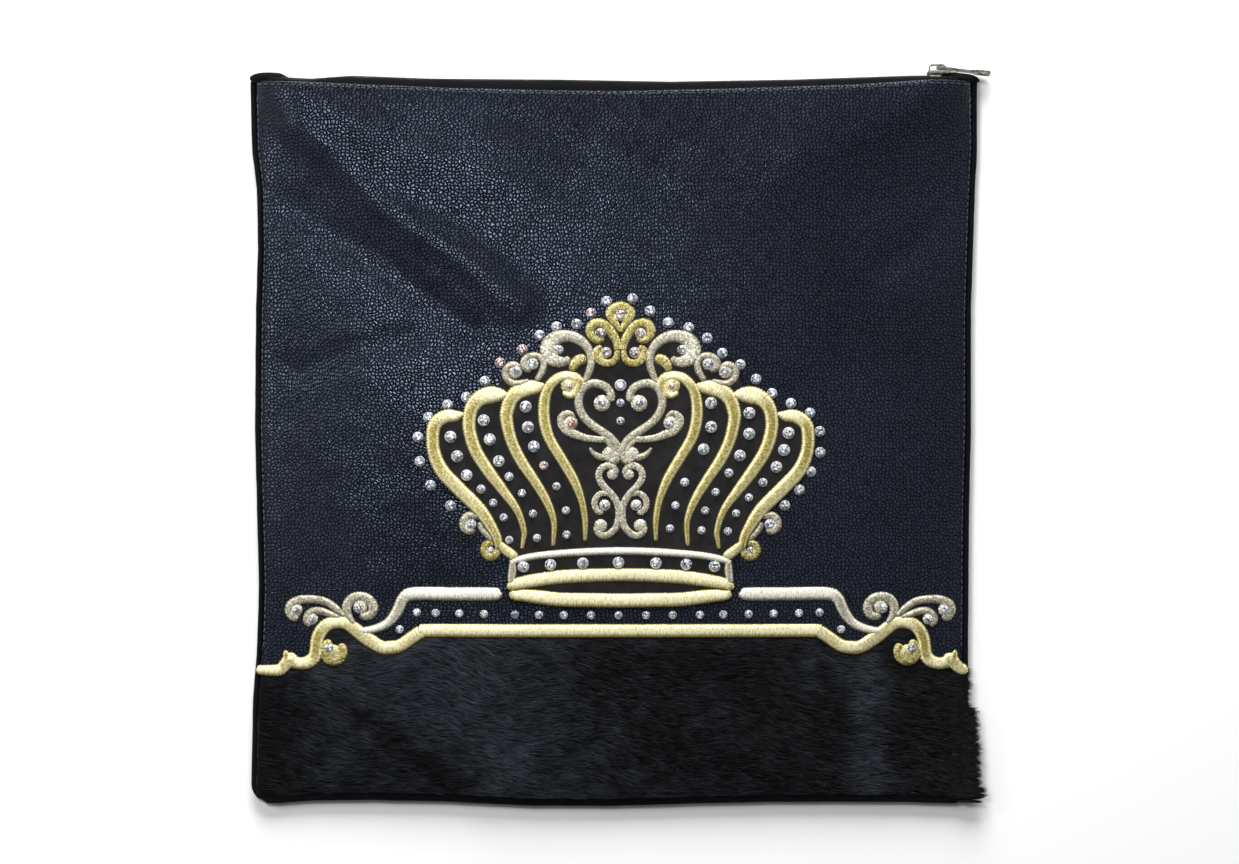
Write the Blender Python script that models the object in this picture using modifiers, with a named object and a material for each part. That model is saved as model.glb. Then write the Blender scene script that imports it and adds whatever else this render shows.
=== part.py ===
"""A tallit and tefillin bag, lying on its back.

A flat zipped pouch: pebbled leather above a panel of short calf hair, joined under a gold
border, with a crown embroidered on a suede ground and round cut stones. +X is right as seen
from the front, +Y runs towards the zip and +Z out of the decorated face. The bag rests on the
flat of its back panel at z = 0. Tables are in millimetres, the finished meshes in metres.
"""
import math

import bmesh
import bpy
import numpy as np
from mathutils import Matrix, Vector

MM = 0.001

# Walls and the filled shape
LEATHER_THICK = 1.6
BACK_THICK = 1.6
BAG_DEPTH = 26.0
SIDE_SEAM_TOP = 7.5
BACK_SEAM_LIFT = 3.4
BACK_CURL_WIDTH = 15.0
ZIP_FLAT_BAND = 14.0
BULGE_REACH = 170.0
BULGE_REACH_AT_ZIP = 26.0
ZIP_EDGE_SHARE = 0.6
ZIP_EDGE_BAND = 70.0
FOLD_FADE = 14.0
PIPING_RADIUS = 1.4
PIPING_HEIGHT = 5.8
PIPING_TOP = 174.0
PIPING_CORNER = 7.0
PIPING_CORNER_CUT = 0.29
PIPING_STATIONS = 12
PANEL_INSET = 3.1
PIECE_GAP = 0.3
SEAM_GAP = 0.4

# Fur
PILE_HEIGHT = 3.1
HIDE_DROP = 0.5
CURL_CLEARING = 15.0
FUR_THICK = 2.4
PILE_CLEAR = 4.0
PILE_RAMP = 7.0
FUR_OVERHANG = 1.5
OVERHANG_DELAY = 1.9
FUR_EDGE_X = 170.0
FUR_PAST_BOTTOM = 1.0
LOCK_COUNT = 11
LOCK_WIDTH = 4.2
LOCK_ROOT = 3.0
LOCK_REACH_TOP = 4.0
LOCK_REACH_GAIN = 3.5
LOCK_REACH_SPREAD = 0.8
LOCK_LEAN = (-1.6, -0.6)
LOCK_SAG = 0.5
LOCKS_BELOW_SEAM = 20.0
LOCKS_ABOVE_BOTTOM = 7.0
LOCK_SEED = 4
LOCK_SECTIONS = (  # share of the length, share of the width, thickness
    (0.0, 1.0, 1.5), (1.0, 0.3, 0.4))

# Suede ground, embroidery and stones
GROUND_THICK = 0.8
GROUND_LIFT = PIECE_GAP
GROUND_CELLS = (9, 8)
THREAD_HEIGHT = 1.5
THREAD_TOP_SHARE = 0.5
STROKE_STEP = 0.06
ON_GROUND = GROUND_LIFT + GROUND_THICK + PIECE_GAP
ON_LEATHER = 0.4
ON_FUR = 0.9
CROWN_AXIS_X = 0.25
CROWN_BASE_Y = -84.0
STONE_RADIUS = 2.7
STONE_HEIGHT = 1.7
STONE_ROOT = 0.5
STONE_TABLE_SHARE = 0.55
STONE_SIDES = 8
SIDES = (("right", 1), ("left", -1))

# Zip
ZIP_HEIGHT = 7.5
TAPE_THICK = 0.8
TAPE_CLEAR = 0.5
TAPE_FROM_CHAIN = 0.35
TAPE_FROM_EDGE = 1.0
TAPE_LEAST_RISE = 0.4
TAPE_STRAIGHT_FRONT = 0.45
TAPE_STRAIGHT_BACK = 0.8
CHAIN_UNDER_RIDGE = 0.9
CHAIN_WIDTH = 5.6
CHAIN_THICK = 2.0
CHAIN_FROM_POST = 0.6
CHAIN_LEFT = -172.0
TAPE_LEFT = -174.5
TAPE_RIGHT = 169.0
TAPE_UNDER_LEATHER = 6.0
TAPE_STATIONS = 15
CHAIN_STATIONS = 11
SLIDER_CENTRE = (159.6, 180.3, ZIP_HEIGHT)
SLIDER_LENGTH = 11.6
SLIDER_WIDTH = 8.4
SLIDER_THICK = 5.8
SLIDER_PLATE = 1.2
SLIDER_SLOT = 2.8
SLIDER_RIM = 1.0
SLIDER_RIB_HALF = 1.6
SLIDER_POST = 2.6
SLIDER_ROUNDING = 0.7
ZIP_ROLL = 5.0
BAIL_WIRE = 0.8
BAIL_HALF_WIDTH = 0.9
BAIL_REACH = 3.6
BAIL_SHOULDER = 0.7
BAIL_ROOT = 0.6
BAIL_CLEAR = 0.5
PULL_PIVOT = (159.0, 184.9, ZIP_HEIGHT - 0.4)
PULL_DROOP = -6.5
PULL_THICK = 1.0
PULL_LENGTH = 26.5
PULL_BAR = 1.0
PULL_BODY = [  # share of the length, half width
    (0, 2.2), (0.03, 3), (0.30, 3), (0.42, 2.3), (0.64, 2.5), (0.78, 5.8), (0.95, 5.8), (1, 4.6)]
PULL_EYE = [(0, 1.7), (0.2, 1.7), (0.8, 1.7), (1, 1)]
PULL_EYE_END = 7.2
PULL_SLOT = [(0, 2.4), (0.3, 3.3), (0.8, 3.8), (1, 3.4)]
PULL_SLOT_SPAN = (21.3, 24.3)

# Outline of the bag: where each side lies along its length
LEFT_SIDE = [  # y, x
    (-186, -184), (-179, -185), (-131, -184), (-106, -182), (-76, -181), (-36, -182),
    (4, -183), (64, -182.5), (94, -181.5), (124, -182), (144, -184.5), (186, -185.5)]
RIGHT_SIDE = [  # y, x
    (-186, 174.5), (-106, 174.5), (-36, 175), (4, 176), (64, 176), (94, 177), (124, 178),
    (144, 179), (186, 179)]
BOTTOM_SIDE = [  # x, y
    (-186, -182), (-175, -184), (-155, -182.5), (-125, -182), (-85, -183), (-45, -185),
    (-5, -185), (35, -184), (75, -183), (140, -183), (186, -184.5)]
LEATHER_TOP = [  # x, y
    (-186, 178.5), (-165, 177.5), (-135, 176.3), (-85, 174.2), (-35, 173), (0, 172.7),
    (40, 173.5), (90, 175), (115, 175.8), (140, 177.3), (154, 178.4), (186, 178.3)]
ZIP_RIDGE = [  # x, y
    (-186, 179.5), (-176, 181), (-165, 180), (-155, 179.5), (-135, 181), (-95, 179.5),
    (-30, 179), (25, 178), (85, 179), (115, 180), (145, 181), (170, 181.2), (186, 180)]

# Creases (below zero) and ridges in the two front panels: path, half width, height
FOLDS = [
    ([(-162, 155), (-120, 116), (-80, 91), (-50, 65)], 9, 2.2),
    ([(-172, 119), (-147, 103), (-120, 88), (-95, 68), (-77, 54)], 9, -2.0),
    ([(-179, 42), (-160, 33), (-135, 43), (-100, 51)], 8, -1.2),
    ([(173, 124), (148, 94), (131, 86)], 8, -1.2),
    ([(150, 76), (138, 70)], 12, 0.8),
    ([(-45, -115), (-52, -176)], 32, 1.4),
    ([(118, -118), (126, -176)], 12, -1.0),
]

# Gold border, right half from the crown's axis, below the crown's base: x, y, width
BORDER = [
    (0, -12.3, 5.2), (60, -12.3, 5.2), (97, -12.3, 5.2), (102.3, -14.5, 5.2),
    (109.8, -19.8, 5.4), (114.8, -20.8, 5.5), (119.8, -20.5, 5.5), (127.8, -15.5, 5),
    (135.8, -9.5, 5), (140.8, -8.3, 4.5), (145.8, -9.3, 4.2), (149.3, -12.3, 4.2),
    (151.5, -17, 4), (152.5, -24.3, 4), (154.8, -27.5, 4.4), (158.8, -29, 5),
    (162.8, -28.5, 5.2), (165.3, -27, 5.4), (168, -30, 4.6), (171.5, -32.5, 4)]

# Crown, right half: x from its axis, y above its base, width of the stitching
RIBS = [
    [(19.8, 112.5, 2.4), (23.4, 114.8, 2.8), (28.4, 115, 3.2), (33.6, 111.8, 4),
     (37, 105, 4.6), (38, 97, 4.8), (36.8, 88.5, 4.8), (32.3, 77.5, 4.6), (26, 67.5, 4.2),
     (20.6, 57.5, 3.4), (18, 47.5, 2.4), (17.5, 40, 2), (17.5, 32.5, 1.2)],
    [(39.8, 109.8, 2.6), (44.5, 109.3, 6), (51, 107, 5.8), (55, 101.5, 5.4), (56.5, 92, 5.2),
     (54.1, 82.5, 5), (49.2, 72, 4.8), (42.2, 62.5, 4.4), (37, 52.5, 3.4), (32.9, 41, 2.4),
     (33.4, 31, 1.2)],
    [(58.4, 105.6, 2.4), (62.6, 105.6, 6.2), (69, 103.6, 6), (73.6, 99, 5.6), (75.1, 90, 5.4),
     (71.6, 77.5, 5.2), (65.4, 67.5, 4.8), (58.6, 58.4, 4.2), (51.1, 47.5, 3.2),
     (47.8, 37.5, 2.2), (48.7, 29.5, 1.2)],
    [(79.8, 95.4, 2), (84.8, 95.2, 5), (89.2, 92.6, 5.4), (92.4, 87.4, 5.4), (93, 81.5, 5.6),
     (91.8, 74.6, 5.6), (88.6, 67.6, 5.8), (79.4, 57.2, 5.8), (69.4, 47.5, 5.2),
     (65.5, 42.5, 4.6), (62.4, 36.5, 3.8), (60.4, 28.5, 2.6)],
]
FINIAL = [(0, 150, 2.6), (5, 147, 2.6), (6.6, 143, 2.6), (3.6, 138.3, 2.6), (-0.4, 135.3, 2.6)]
TOP_SCROLL = [
    (0.9, 121, 3.2), (0.9, 131.5, 3.2), (4.8, 137.6, 3), (9.8, 141.3, 3), (14.8, 140.3, 3),
    (17.1, 136, 2.8), (15.2, 132.2, 2.6), (11.3, 131.4, 2.4), (8.6, 133, 2.2)]
TOP_LOWER_SCROLL = [
    (1.2, 123.5, 3), (3.8, 120, 3), (7.3, 118.8, 3), (11, 120.6, 2.8), (12.2, 124.3, 2.6),
    (10.8, 127.8, 2.4), (7.6, 128.6, 2.2)]
C_SCROLL = [
    (16.4, 115.6, 2.2), (15.9, 121.5, 2.4), (16.7, 126.6, 2.6), (19.8, 130.6, 3),
    (23.3, 133.2, 3.4), (28, 134.2, 4), (33, 133, 5), (36.4, 129.4, 5.6), (36, 124.8, 5.4),
    (32.3, 122.3, 4.4), (28.6, 122.6, 3), (26.4, 125, 2)]
HEART = [
    (5.3, 101.5, 3), (4.8, 105, 3), (6.8, 108.5, 3), (10.8, 110.4, 3), (14.8, 110.6, 3),
    (18.3, 108.6, 3), (20.3, 105, 3), (20.8, 101, 3), (19.8, 97, 3), (17.3, 93, 3),
    (13.3, 89.5, 3), (8.8, 86.5, 3), (4.3, 83, 3), (1.4, 79, 3), (1.1, 75.5, 3), (2.8, 72.4, 3),
    (6, 71.8, 2.8)]
FLYING_SCROLL = [
    (2.6, 76.5, 2.6), (6.8, 82.3, 2.8), (11, 82.8, 2.8), (17.3, 83.5, 2.8), (22.3, 85.3, 2.8),
    (26.3, 87, 2.8), (29, 90, 2.8), (29.6, 93, 2.8), (27.6, 95.5, 2.6), (24.8, 95.6, 2.4),
    (22.6, 93.4, 2)]
LOWER_SCROLL = [
    (2.4, 65, 2.4), (2.8, 68, 2.6), (5.8, 69.8, 2.8), (9.3, 68.5, 2.8), (10.8, 65.5, 2.8),
    (10.3, 62.5, 2.8), (7.8, 59, 2.8), (4.8, 56, 2.8), (2.3, 52.5, 2.8), (1, 48.5, 2.8),
    (1, 43.5, 2.8), (2.3, 39, 2.8), (5.3, 36, 2.8), (8.3, 35, 2.8), (11.3, 36.5, 2.6),
    (12.6, 39.8, 2.2)]
MIDDLE_CURL = [
    (4.6, 55.4, 2.2), (9.3, 56, 2.6), (12.3, 53.5, 2.6), (12.8, 50, 2.6), (11.2, 47, 2.4),
    (8.3, 46.2, 2)]
BAND_LINE = [
    (0, 27.4, 3.2), (19.8, 26.8, 3.2), (39.8, 25.2, 3.2), (50.3, 23.2, 3), (53.2, 20.2, 2.6),
    (53, 13.8, 2)]
BAND_UPPER = [
    (0, 15.3, 5.5), (14.8, 15.1, 5.4), (29.8, 14, 5.2), (39.8, 12.6, 5), (47.3, 10.8, 4),
    (52.5, 8, 2.8)]
BAND_LOWER = [
    (0, 2.5, 5.5), (14.8, 2.8, 5.6), (29.8, 3.5, 5.8), (39.8, 4.5, 5.6), (47.3, 5.6, 5),
    (53.5, 6.6, 3)]
SILVER_BAR = [
    (59.3, 6.4, 1.5), (63.3, 6, 5.2), (84, 6, 5.5), (103.3, 6, 5.5), (108.4, 3.4, 5),
    (110.3, -1, 4.4), (112.3, -5, 3.8), (114.8, -8, 3), (118.3, -10.6, 2.6), (122.6, -12.6, 2)]
SIDE_SCROLL = [
    (71.5, 43.6, 1.6), (74.6, 44.9, 2.4), (77.6, 42.8, 2.4), (77.5, 39.4, 2.4),
    (74.9, 37.4, 2.4), (72.2, 38.6, 2)]
CORNER_C = [
    (133.9, -4.8, 2.2), (134.9, -1.4, 3.4), (132.4, 2.6, 4), (128.3, 3.8, 4.6),
    (123.9, 1.8, 5.2), (122.9, -2, 5.2), (125.3, -5.2, 4.2), (128.6, -6, 2.4)]
CORNER_LEAF = [
    (140.3, -3.8, 2), (143.3, -1.2, 3), (148.8, 2, 3.1), (154.8, 3, 3), (160.4, 2, 3),
    (164.4, -1, 2.9), (164.6, -4.4, 2.9), (161.6, -6.4, 2.9), (158.9, -4.4, 2.4)]
CORNER_SMALL = [
    (144.4, -4.6, 1.6), (149.3, -2.8, 2.2), (153.8, -3.2, 2.4), (156.3, -6, 2.4),
    (155.3, -9.2, 2.4), (152.2, -9.8, 2.2)]
# Rings and curls as arcs: centre, radius, first and last angle, width
RING_SCROLL = (44.3, 120.2, 3.6, 250, -70, 2.6)
SMALL_RING_SCROLL = (54, 115.8, 3.0, 190, -110, 2.4)
SIDE_CURL = (66.9, 28, 3.4, 130, 430, 2.2)
CORNER_CURL = (143.3, -23.0, 4.7, 80, -230, 4.2)

# Suede ground, right half of its outline
GROUND_OUTLINE = [
    (0, 151), (6, 147.5), (10, 142.5), (15, 141), (20, 135), (28, 136), (36, 134),
    (39.5, 127), (45, 124), (50, 121), (56, 118), (61, 109), (68, 106.5), (77, 98),
    (85, 97.5), (92, 93), (94.5, 81), (90.5, 69.5), (80, 57.5), (69.8, 47.4), (63, 38),
    (60.2, 28.6), (56.4, 22.4), (55.5, 6.5), (48, 2), (30, -0.2), (0, -1)]

# Stones: paths that they follow from the first to the last, how many, and their radii
HALO = [(6, 152.8), (13.8, 147.3), (25.8, 139.8), (35.3, 138), (44, 132.5), (52, 124.5),
        (61, 119), (75.8, 105.4), (94.3, 96), (99.4, 86), (99.2, 75.5), (89.5, 58.3),
        (81.8, 50)]
HALO_COUNT = 16
STONE_COLUMNS = [
    [(45, 100.8), (45, 89.3), (41.3, 77.8), (31.8, 61.5), (27.3, 50), (24.8, 38.5)],
    [(64, 96), (64, 85.8), (59.5, 74.8), (47.5, 56.5), (42, 47.5), (40.3, 37.8)],
    [(83.8, 86), (81.3, 77.5), (77.5, 69), (64, 53.8), (57.5, 46), (53.3, 37.5)]]
COLUMN_COUNT = 7
LARGE_IN_COLUMN = 4
AXIS_STONE_Y = 109.8
BAND_STONES_HALF = 3
BAND_STONE_STEP = 16.0
BAND_STONE_Y = 21.6
BAND_STONE_DROP = 0.0009

# Grid cells across each panel, and how much closer they lie at the edges
PANEL_COLUMNS = 24
LEATHER_ROWS = 17
FUR_ROWS = 6
BACK_CELLS = 13
EDGE_CROWDING = 0.6
# Stations along a line of stitching: one for each turn and run, in degrees and millimetres
STATION_TURN = 40.0
STATION_RUN = 16.0
CURVE_STEPS = 12

MATERIALS = {  # name: colour, roughness, metallic
    "leather": ((0.022, 0.026, 0.036), 0.45, 0.0),
    "back_leather": ((0.012, 0.012, 0.013), 0.5, 0.0),
    "fur": ((0.012, 0.012, 0.014), 0.6, 0.0),
    "suede": ((0.016, 0.013, 0.011), 0.9, 0.0),
    "gold_thread": ((0.86, 0.72, 0.34), 0.35, 0.8),
    "silver_thread": ((0.82, 0.80, 0.72), 0.35, 0.8),
    "zip_tape": ((0.012, 0.012, 0.014), 0.8, 0.0),
    "nylon": ((0.014, 0.014, 0.015), 0.5, 0.0),
    "nickel": ((0.55, 0.53, 0.46), 0.3, 1.0),
}


# Scene and objects

def clear_scene():
    """Empty the scene of every object."""
    for old in list(bpy.data.objects):
        bpy.data.objects.remove(old, do_unlink=True)


def new_collection(name):
    """Add a collection to the scene."""
    collection = bpy.data.collections.new(name)
    bpy.context.scene.collection.children.link(collection)
    return collection


def make_material(name, finish):
    """Make one of the finishes for one sub-part."""
    colour, roughness, metallic = MATERIALS[finish]
    material = bpy.data.materials.new(f"{name}_{finish}")
    material.use_nodes = True
    shader = material.node_tree.nodes["Principled BSDF"]
    shader.inputs["Base Color"].default_value = (*colour, 1.0)
    shader.inputs["Roughness"].default_value = roughness
    shader.inputs["Metallic"].default_value = metallic
    return material


def object_from_bmesh(name, shape, collection):
    """Wrap a bmesh, worked in millimetres, as an object in metres."""
    bmesh.ops.scale(shape, vec=(MM, MM, MM), verts=shape.verts)
    bmesh.ops.recalc_face_normals(shape, faces=shape.faces)
    mesh = bpy.data.meshes.new(name)
    shape.to_mesh(mesh)
    shape.free()
    obj = bpy.data.objects.new(name, mesh)
    collection.objects.link(obj)
    return obj


def part(name, shape, finish):
    """Add a sub-part with its own material."""
    obj = object_from_bmesh(name, shape, PARTS)
    obj.data.materials.append(make_material(name, finish))
    return obj


def cutter(name, shape):
    """Add a helper body that a Boolean reads."""
    obj = object_from_bmesh(name, shape, CUTTERS)
    obj.hide_render = True
    obj.display_type = "WIRE"
    return obj


def combine(obj, other, operation):
    """Cut, join or intersect an object with a helper body."""
    boolean = obj.modifiers.new(other.name, "BOOLEAN")
    boolean.operation = operation
    boolean.object = other
    boolean.solver = "EXACT"


def shade_smooth(obj, sharp_degrees=35.0):
    """Shade a round piece smooth, with its hard edges kept."""
    obj.data.shade_smooth()
    obj.data.set_sharp_from_angle(angle=math.radians(sharp_degrees))


# Curves through table rows

def smooth(rows):
    """Many points on the smooth curve through the rows, with the run up to each."""
    rows = np.array(rows, float)
    ends = np.vstack([2 * rows[0] - rows[1], rows, 2 * rows[-1] - rows[-2]])
    fine = []
    for before, start, stop, after in zip(ends, ends[1:], ends[2:], ends[3:]):
        for t in np.linspace(0, 1, CURVE_STEPS, endpoint=False):
            fine.append(0.5 * (2 * start + (stop - before) * t
                               + (2 * before - 5 * start + 4 * stop - after) * t ** 2
                               + (3 * start - before - 3 * stop + after) * t ** 3))
    fine = np.array(fine + [rows[-1]])
    run = np.concatenate([[0], np.cumsum(np.linalg.norm(np.diff(fine[:, :2], axis=0), axis=1))])
    return fine, run


def evenly(rows, count):
    """Points evenly spaced on the smooth curve through the rows."""
    fine, run = smooth(rows)
    stations = np.linspace(0, run[-1], count)
    return np.column_stack([np.interp(stations, run, column) for column in fine.T])


def through(rows):
    """Stations on the smooth curve through the rows, close together where it turns."""
    fine, run = smooth(rows)
    steps = np.diff(fine[:, :2], axis=0)
    heading = np.unwrap(np.arctan2(steps[:, 1], steps[:, 0]))
    turned = np.concatenate([[0], np.abs(np.diff(heading)), [0]])
    effort = np.cumsum(turned / math.radians(STATION_TURN))
    effort = effort + run / STATION_RUN
    stations = np.linspace(0, effort[-1], max(3, int(math.ceil(effort[-1])) + 1))
    return np.column_stack([np.interp(stations, effort, column) for column in fine.T])


def arc(centre_x, centre_y, radius, first, last, width):
    """Rows along an arc of constant width."""
    count = max(4, int(abs(last - first) / STATION_TURN) + 1)
    angles = np.radians(np.linspace(first, last, count))
    return [(centre_x + radius * math.cos(a), centre_y + radius * math.sin(a), width)
            for a in angles]


def side(table):
    """A function that reads an outline table."""
    places, values = np.array(table, float).T
    return lambda where: np.interp(where, places, values)


left_side = side(LEFT_SIDE)
right_side = side(RIGHT_SIDE)
bottom_side = side(BOTTOM_SIDE)
leather_top = side(LEATHER_TOP)
zip_ridge = side(ZIP_RIDGE)
border_right = side([row[:2] for row in BORDER])


def whole_width(rows):
    """Rows of a right half with its mirrored left half before them."""
    left = [(-row[0], *row[1:]) for row in reversed(rows[1:])]
    return left + list(rows)


BORDER_PATH = [(CROWN_AXIS_X + x, CROWN_BASE_Y + y) for x, y, _ in
               [(-190, -33, 4), *whole_width(BORDER), (190, -33, 4)]]


def seam(x):
    """Where the leather meets the fur, under the border."""
    return CROWN_BASE_Y + border_right(np.abs(np.asarray(x, float) - CROWN_AXIS_X))


# Height of the filled bag

def bulge(distance, reach):
    """Rise of a filled panel from 0 at its seam to 1 at its reach."""
    rest = np.clip(1 - distance / reach, 0, 1)
    return 0.5 * (1 - rest ** 2) + 0.5 * np.sqrt(1 - rest ** 2)


def distance_to_path(x, y, path):
    """Distance from a point to the nearest part of a path of straight runs."""
    nearest = np.full(np.shape(x), 1e9)
    for (ax, ay), (bx, by) in zip(path, path[1:]):
        run_x, run_y = bx - ax, by - ay
        share = ((x - ax) * run_x + (y - ay) * run_y) / (run_x ** 2 + run_y ** 2)
        share = np.clip(share, 0, 1)
        nearest = np.minimum(nearest, np.hypot(x - ax - share * run_x, y - ay - share * run_y))
    return nearest


def front_height(x, y):
    """Height of the front panels' outer face."""
    x = np.asarray(x, float)
    y = np.asarray(y, float)
    from_left = np.maximum(x - left_side(y) - PANEL_INSET, 0)
    from_right = np.maximum(right_side(y) - PANEL_INSET - x, 0)
    from_bottom = np.maximum(y - bottom_side(x) - PANEL_INSET, 0)
    from_top = np.maximum(leather_top(x) - y, 0)
    near_zip = np.clip(1 - from_top / ZIP_EDGE_BAND, 0, 1)
    near_zip = near_zip ** 2 * (3 - 2 * near_zip)
    reach = BULGE_REACH + (BULGE_REACH_AT_ZIP - BULGE_REACH) * near_zip
    lift = bulge(from_left, reach) * bulge(from_right, reach) * bulge(from_bottom, BULGE_REACH)
    lift = lift * (ZIP_EDGE_SHARE + (1 - ZIP_EDGE_SHARE) * bulge(from_top, BULGE_REACH))
    height = SIDE_SEAM_TOP + (BAG_DEPTH - SIDE_SEAM_TOP) * lift
    edge = np.minimum(np.minimum(from_left, from_right), np.minimum(from_bottom, from_top))
    fade = np.clip(edge / FOLD_FADE, 0, 1)
    for path, half_width, depth in FOLDS:
        height = height + fade * depth * np.exp(-(distance_to_path(x, y, path) / half_width) ** 2)
    return height


def back_height(x, y):
    """Height of the back panel's outer face: flat, and turned up at three seams, less by the zip."""
    from_left = x - left_side(y) - PANEL_INSET
    from_right = right_side(y) - PANEL_INSET - x
    from_bottom = y - bottom_side(x) - PANEL_INSET
    edge = np.minimum(np.minimum(from_left, from_right), from_bottom)
    rest = np.clip(1 - edge / BACK_CURL_WIDTH, 0, 1)
    below_zip = np.clip((leather_top(x) - y - ZIP_FLAT_BAND) / ZIP_FLAT_BAND, 0, 1)
    return BACK_SEAM_LIFT * below_zip * (1 - np.sqrt(1 - 0.98 * rest ** 2))


def pile(x, y):
    """How far the hair stands above the front's height: low beside the border and the curls."""
    below = np.clip((distance_to_path(x, y, BORDER_PATH) - PILE_CLEAR) / PILE_RAMP, 0, 1)
    height = PILE_HEIGHT * below * below * (3 - 2 * below)
    for mirror in (-1, 1):
        curl_x = CROWN_AXIS_X + mirror * CORNER_CURL[0]
        curl_y = CROWN_BASE_Y + CORNER_CURL[1]
        far = np.hypot(x - curl_x, y - curl_y) / CURL_CLEARING
        height = height * (1 - np.exp(-far ** 4))
    return height


def fur_height(x, y):
    """Height of the fur's outer form."""
    return front_height(x, y) + pile(x, y) - HIDE_DROP


# Panels

def crowd(share):
    """Grid lines in -1..1, drawn closer together towards both ends."""
    return (1 - EDGE_CROWDING) * share + EDGE_CROWDING * np.sin(0.5 * math.pi * share)


def fur_overhang(y):
    """How far the fur reaches past the leather's side line: out over the edge where it is deep."""
    below = float(seam(FUR_EDGE_X)) - PILE_CLEAR - OVERHANG_DELAY * PILE_RAMP - y
    return (PANEL_INSET + FUR_OVERHANG) * min(max(below / PILE_RAMP, 0.0), 1.0)


def no_overhang(_):
    """The leather stops at its side line."""
    return 0.0


def panel_grid(columns, rows, low, high, height, overhang=no_overhang):
    """A grid draped over the bag between two outline curves."""
    shape = bmesh.new()
    bmesh.ops.create_grid(shape, x_segments=columns, y_segments=rows, size=1.0)
    for vertex in shape.verts:
        across = 0.5 + 0.5 * crowd(vertex.co.x)
        along = 0.5 + 0.5 * crowd(vertex.co.y)
        x, y = 0.0, 0.0
        for _ in range(4):
            left = left_side(y) + PANEL_INSET
            right = right_side(y) - PANEL_INSET + overhang(y)
            x = left + across * (right - left)
            y = low(x) + along * (high(x) - low(x))
        vertex.co = (x, y, float(height(x, y)))
    return shape


def thicken(obj, thickness):
    """Give an open surface its wall, inwards from the face that shows."""
    solidify = obj.modifiers.new("wall", "SOLIDIFY")
    solidify.thickness = thickness * MM
    solidify.offset = -1.0


def face_up(obj):
    """Turn an open surface's faces towards +Z."""
    obj.data.update()
    if sum(polygon.normal.z for polygon in obj.data.polygons) < 0:
        obj.data.flip_normals()


def front_panel():
    """The pebbled leather, from the border to the zip, with the halo of stones set in it."""
    shape = panel_grid(PANEL_COLUMNS, LEATHER_ROWS, lambda x: seam(x) + SEAM_GAP, leather_top,
                       front_height)
    obj = part("front_panel", shape, "leather")
    face_up(obj)
    thicken(obj, LEATHER_THICK)
    combine(obj, cutter("halo_stones", stones(halo_places(), 0.0)), "UNION")
    return obj


def fur_panel():
    """The panel of short hair, with locks that stand out past the right side."""
    shape = panel_grid(PANEL_COLUMNS, FUR_ROWS,
                       lambda x: bottom_side(x) + PANEL_INSET - FUR_PAST_BOTTOM,
                       lambda x: seam(x) - SEAM_GAP, fur_height, overhang=fur_overhang)
    obj = part("fur_panel", shape, "fur")
    face_up(obj)
    thicken(obj, FUR_THICK)
    combine(obj, cutter("fur_locks", fur_locks()), "UNION")
    return obj


def fur_locks():
    """Tapered locks of hair along the right side, leaning outwards and slightly down."""
    generator = np.random.default_rng(LOCK_SEED)
    shape = bmesh.new()
    top = float(seam(FUR_EDGE_X)) - LOCKS_BELOW_SEAM
    bottom = float(bottom_side(FUR_EDGE_X)) + LOCKS_ABOVE_BOTTOM
    for y in np.linspace(top, bottom, LOCK_COUNT):
        reach = LOCK_REACH_TOP + LOCK_REACH_GAIN * (top - y) / (top - bottom)
        reach += generator.uniform(-LOCK_REACH_SPREAD, LOCK_REACH_SPREAD)
        root_x = float(right_side(y)) - PANEL_INSET + fur_overhang(y) - LOCK_ROOT
        root_z = float(fur_height(root_x, y)) - 0.5 * FUR_THICK
        lean = generator.uniform(*LOCK_LEAN)
        sections = []
        for share, width, thickness in LOCK_SECTIONS:
            x = root_x + (reach + LOCK_ROOT) * share
            middle_y = y + lean * share
            middle_z = root_z - LOCK_SAG * share
            half = 0.5 * LOCK_WIDTH * width
            above = middle_z + 0.5 * thickness
            below = middle_z - 0.5 * thickness
            sections.append([(x, middle_y - half, middle_z), (x, middle_y, above),
                             (x, middle_y + half, middle_z), (x, middle_y, below)])
        loft(shape, sections)
    return shape


def back_panel():
    """The plain leather back, flat where the bag rests."""
    shape = panel_grid(BACK_CELLS, BACK_CELLS, lambda x: bottom_side(x) + PANEL_INSET,
                       lambda x: leather_top(x) - 1.0,
                       lambda x, y: back_height(x, y) + BACK_THICK)
    obj = part("back_panel", shape, "back_leather")
    face_up(obj)
    thicken(obj, BACK_THICK)
    return obj


def piping_path():
    """Centre line of the bound edge: down the left side, along the bottom, up the right side."""
    left_x = float(left_side(-PIPING_TOP)) + PIPING_RADIUS
    right_x = float(right_side(-PIPING_TOP)) - PIPING_RADIUS
    left_y = float(bottom_side(left_x)) + PIPING_RADIUS
    right_y = float(bottom_side(right_x)) + PIPING_RADIUS
    cut = PIPING_CORNER * PIPING_CORNER_CUT
    path = [(float(left_side(y)) + PIPING_RADIUS, y)
            for y in np.linspace(PIPING_TOP, left_y + PIPING_CORNER, PIPING_STATIONS)]
    path.append((left_x + cut, left_y + cut))
    path += [(x, float(bottom_side(x)) + PIPING_RADIUS)
             for x in np.linspace(left_x + PIPING_CORNER, right_x - PIPING_CORNER, PIPING_STATIONS)]
    path.append((right_x - cut, right_y + cut))
    path += [(float(right_side(y)) - PIPING_RADIUS, y)
             for y in np.linspace(right_y + PIPING_CORNER, PIPING_TOP, PIPING_STATIONS)]
    return path


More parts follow.
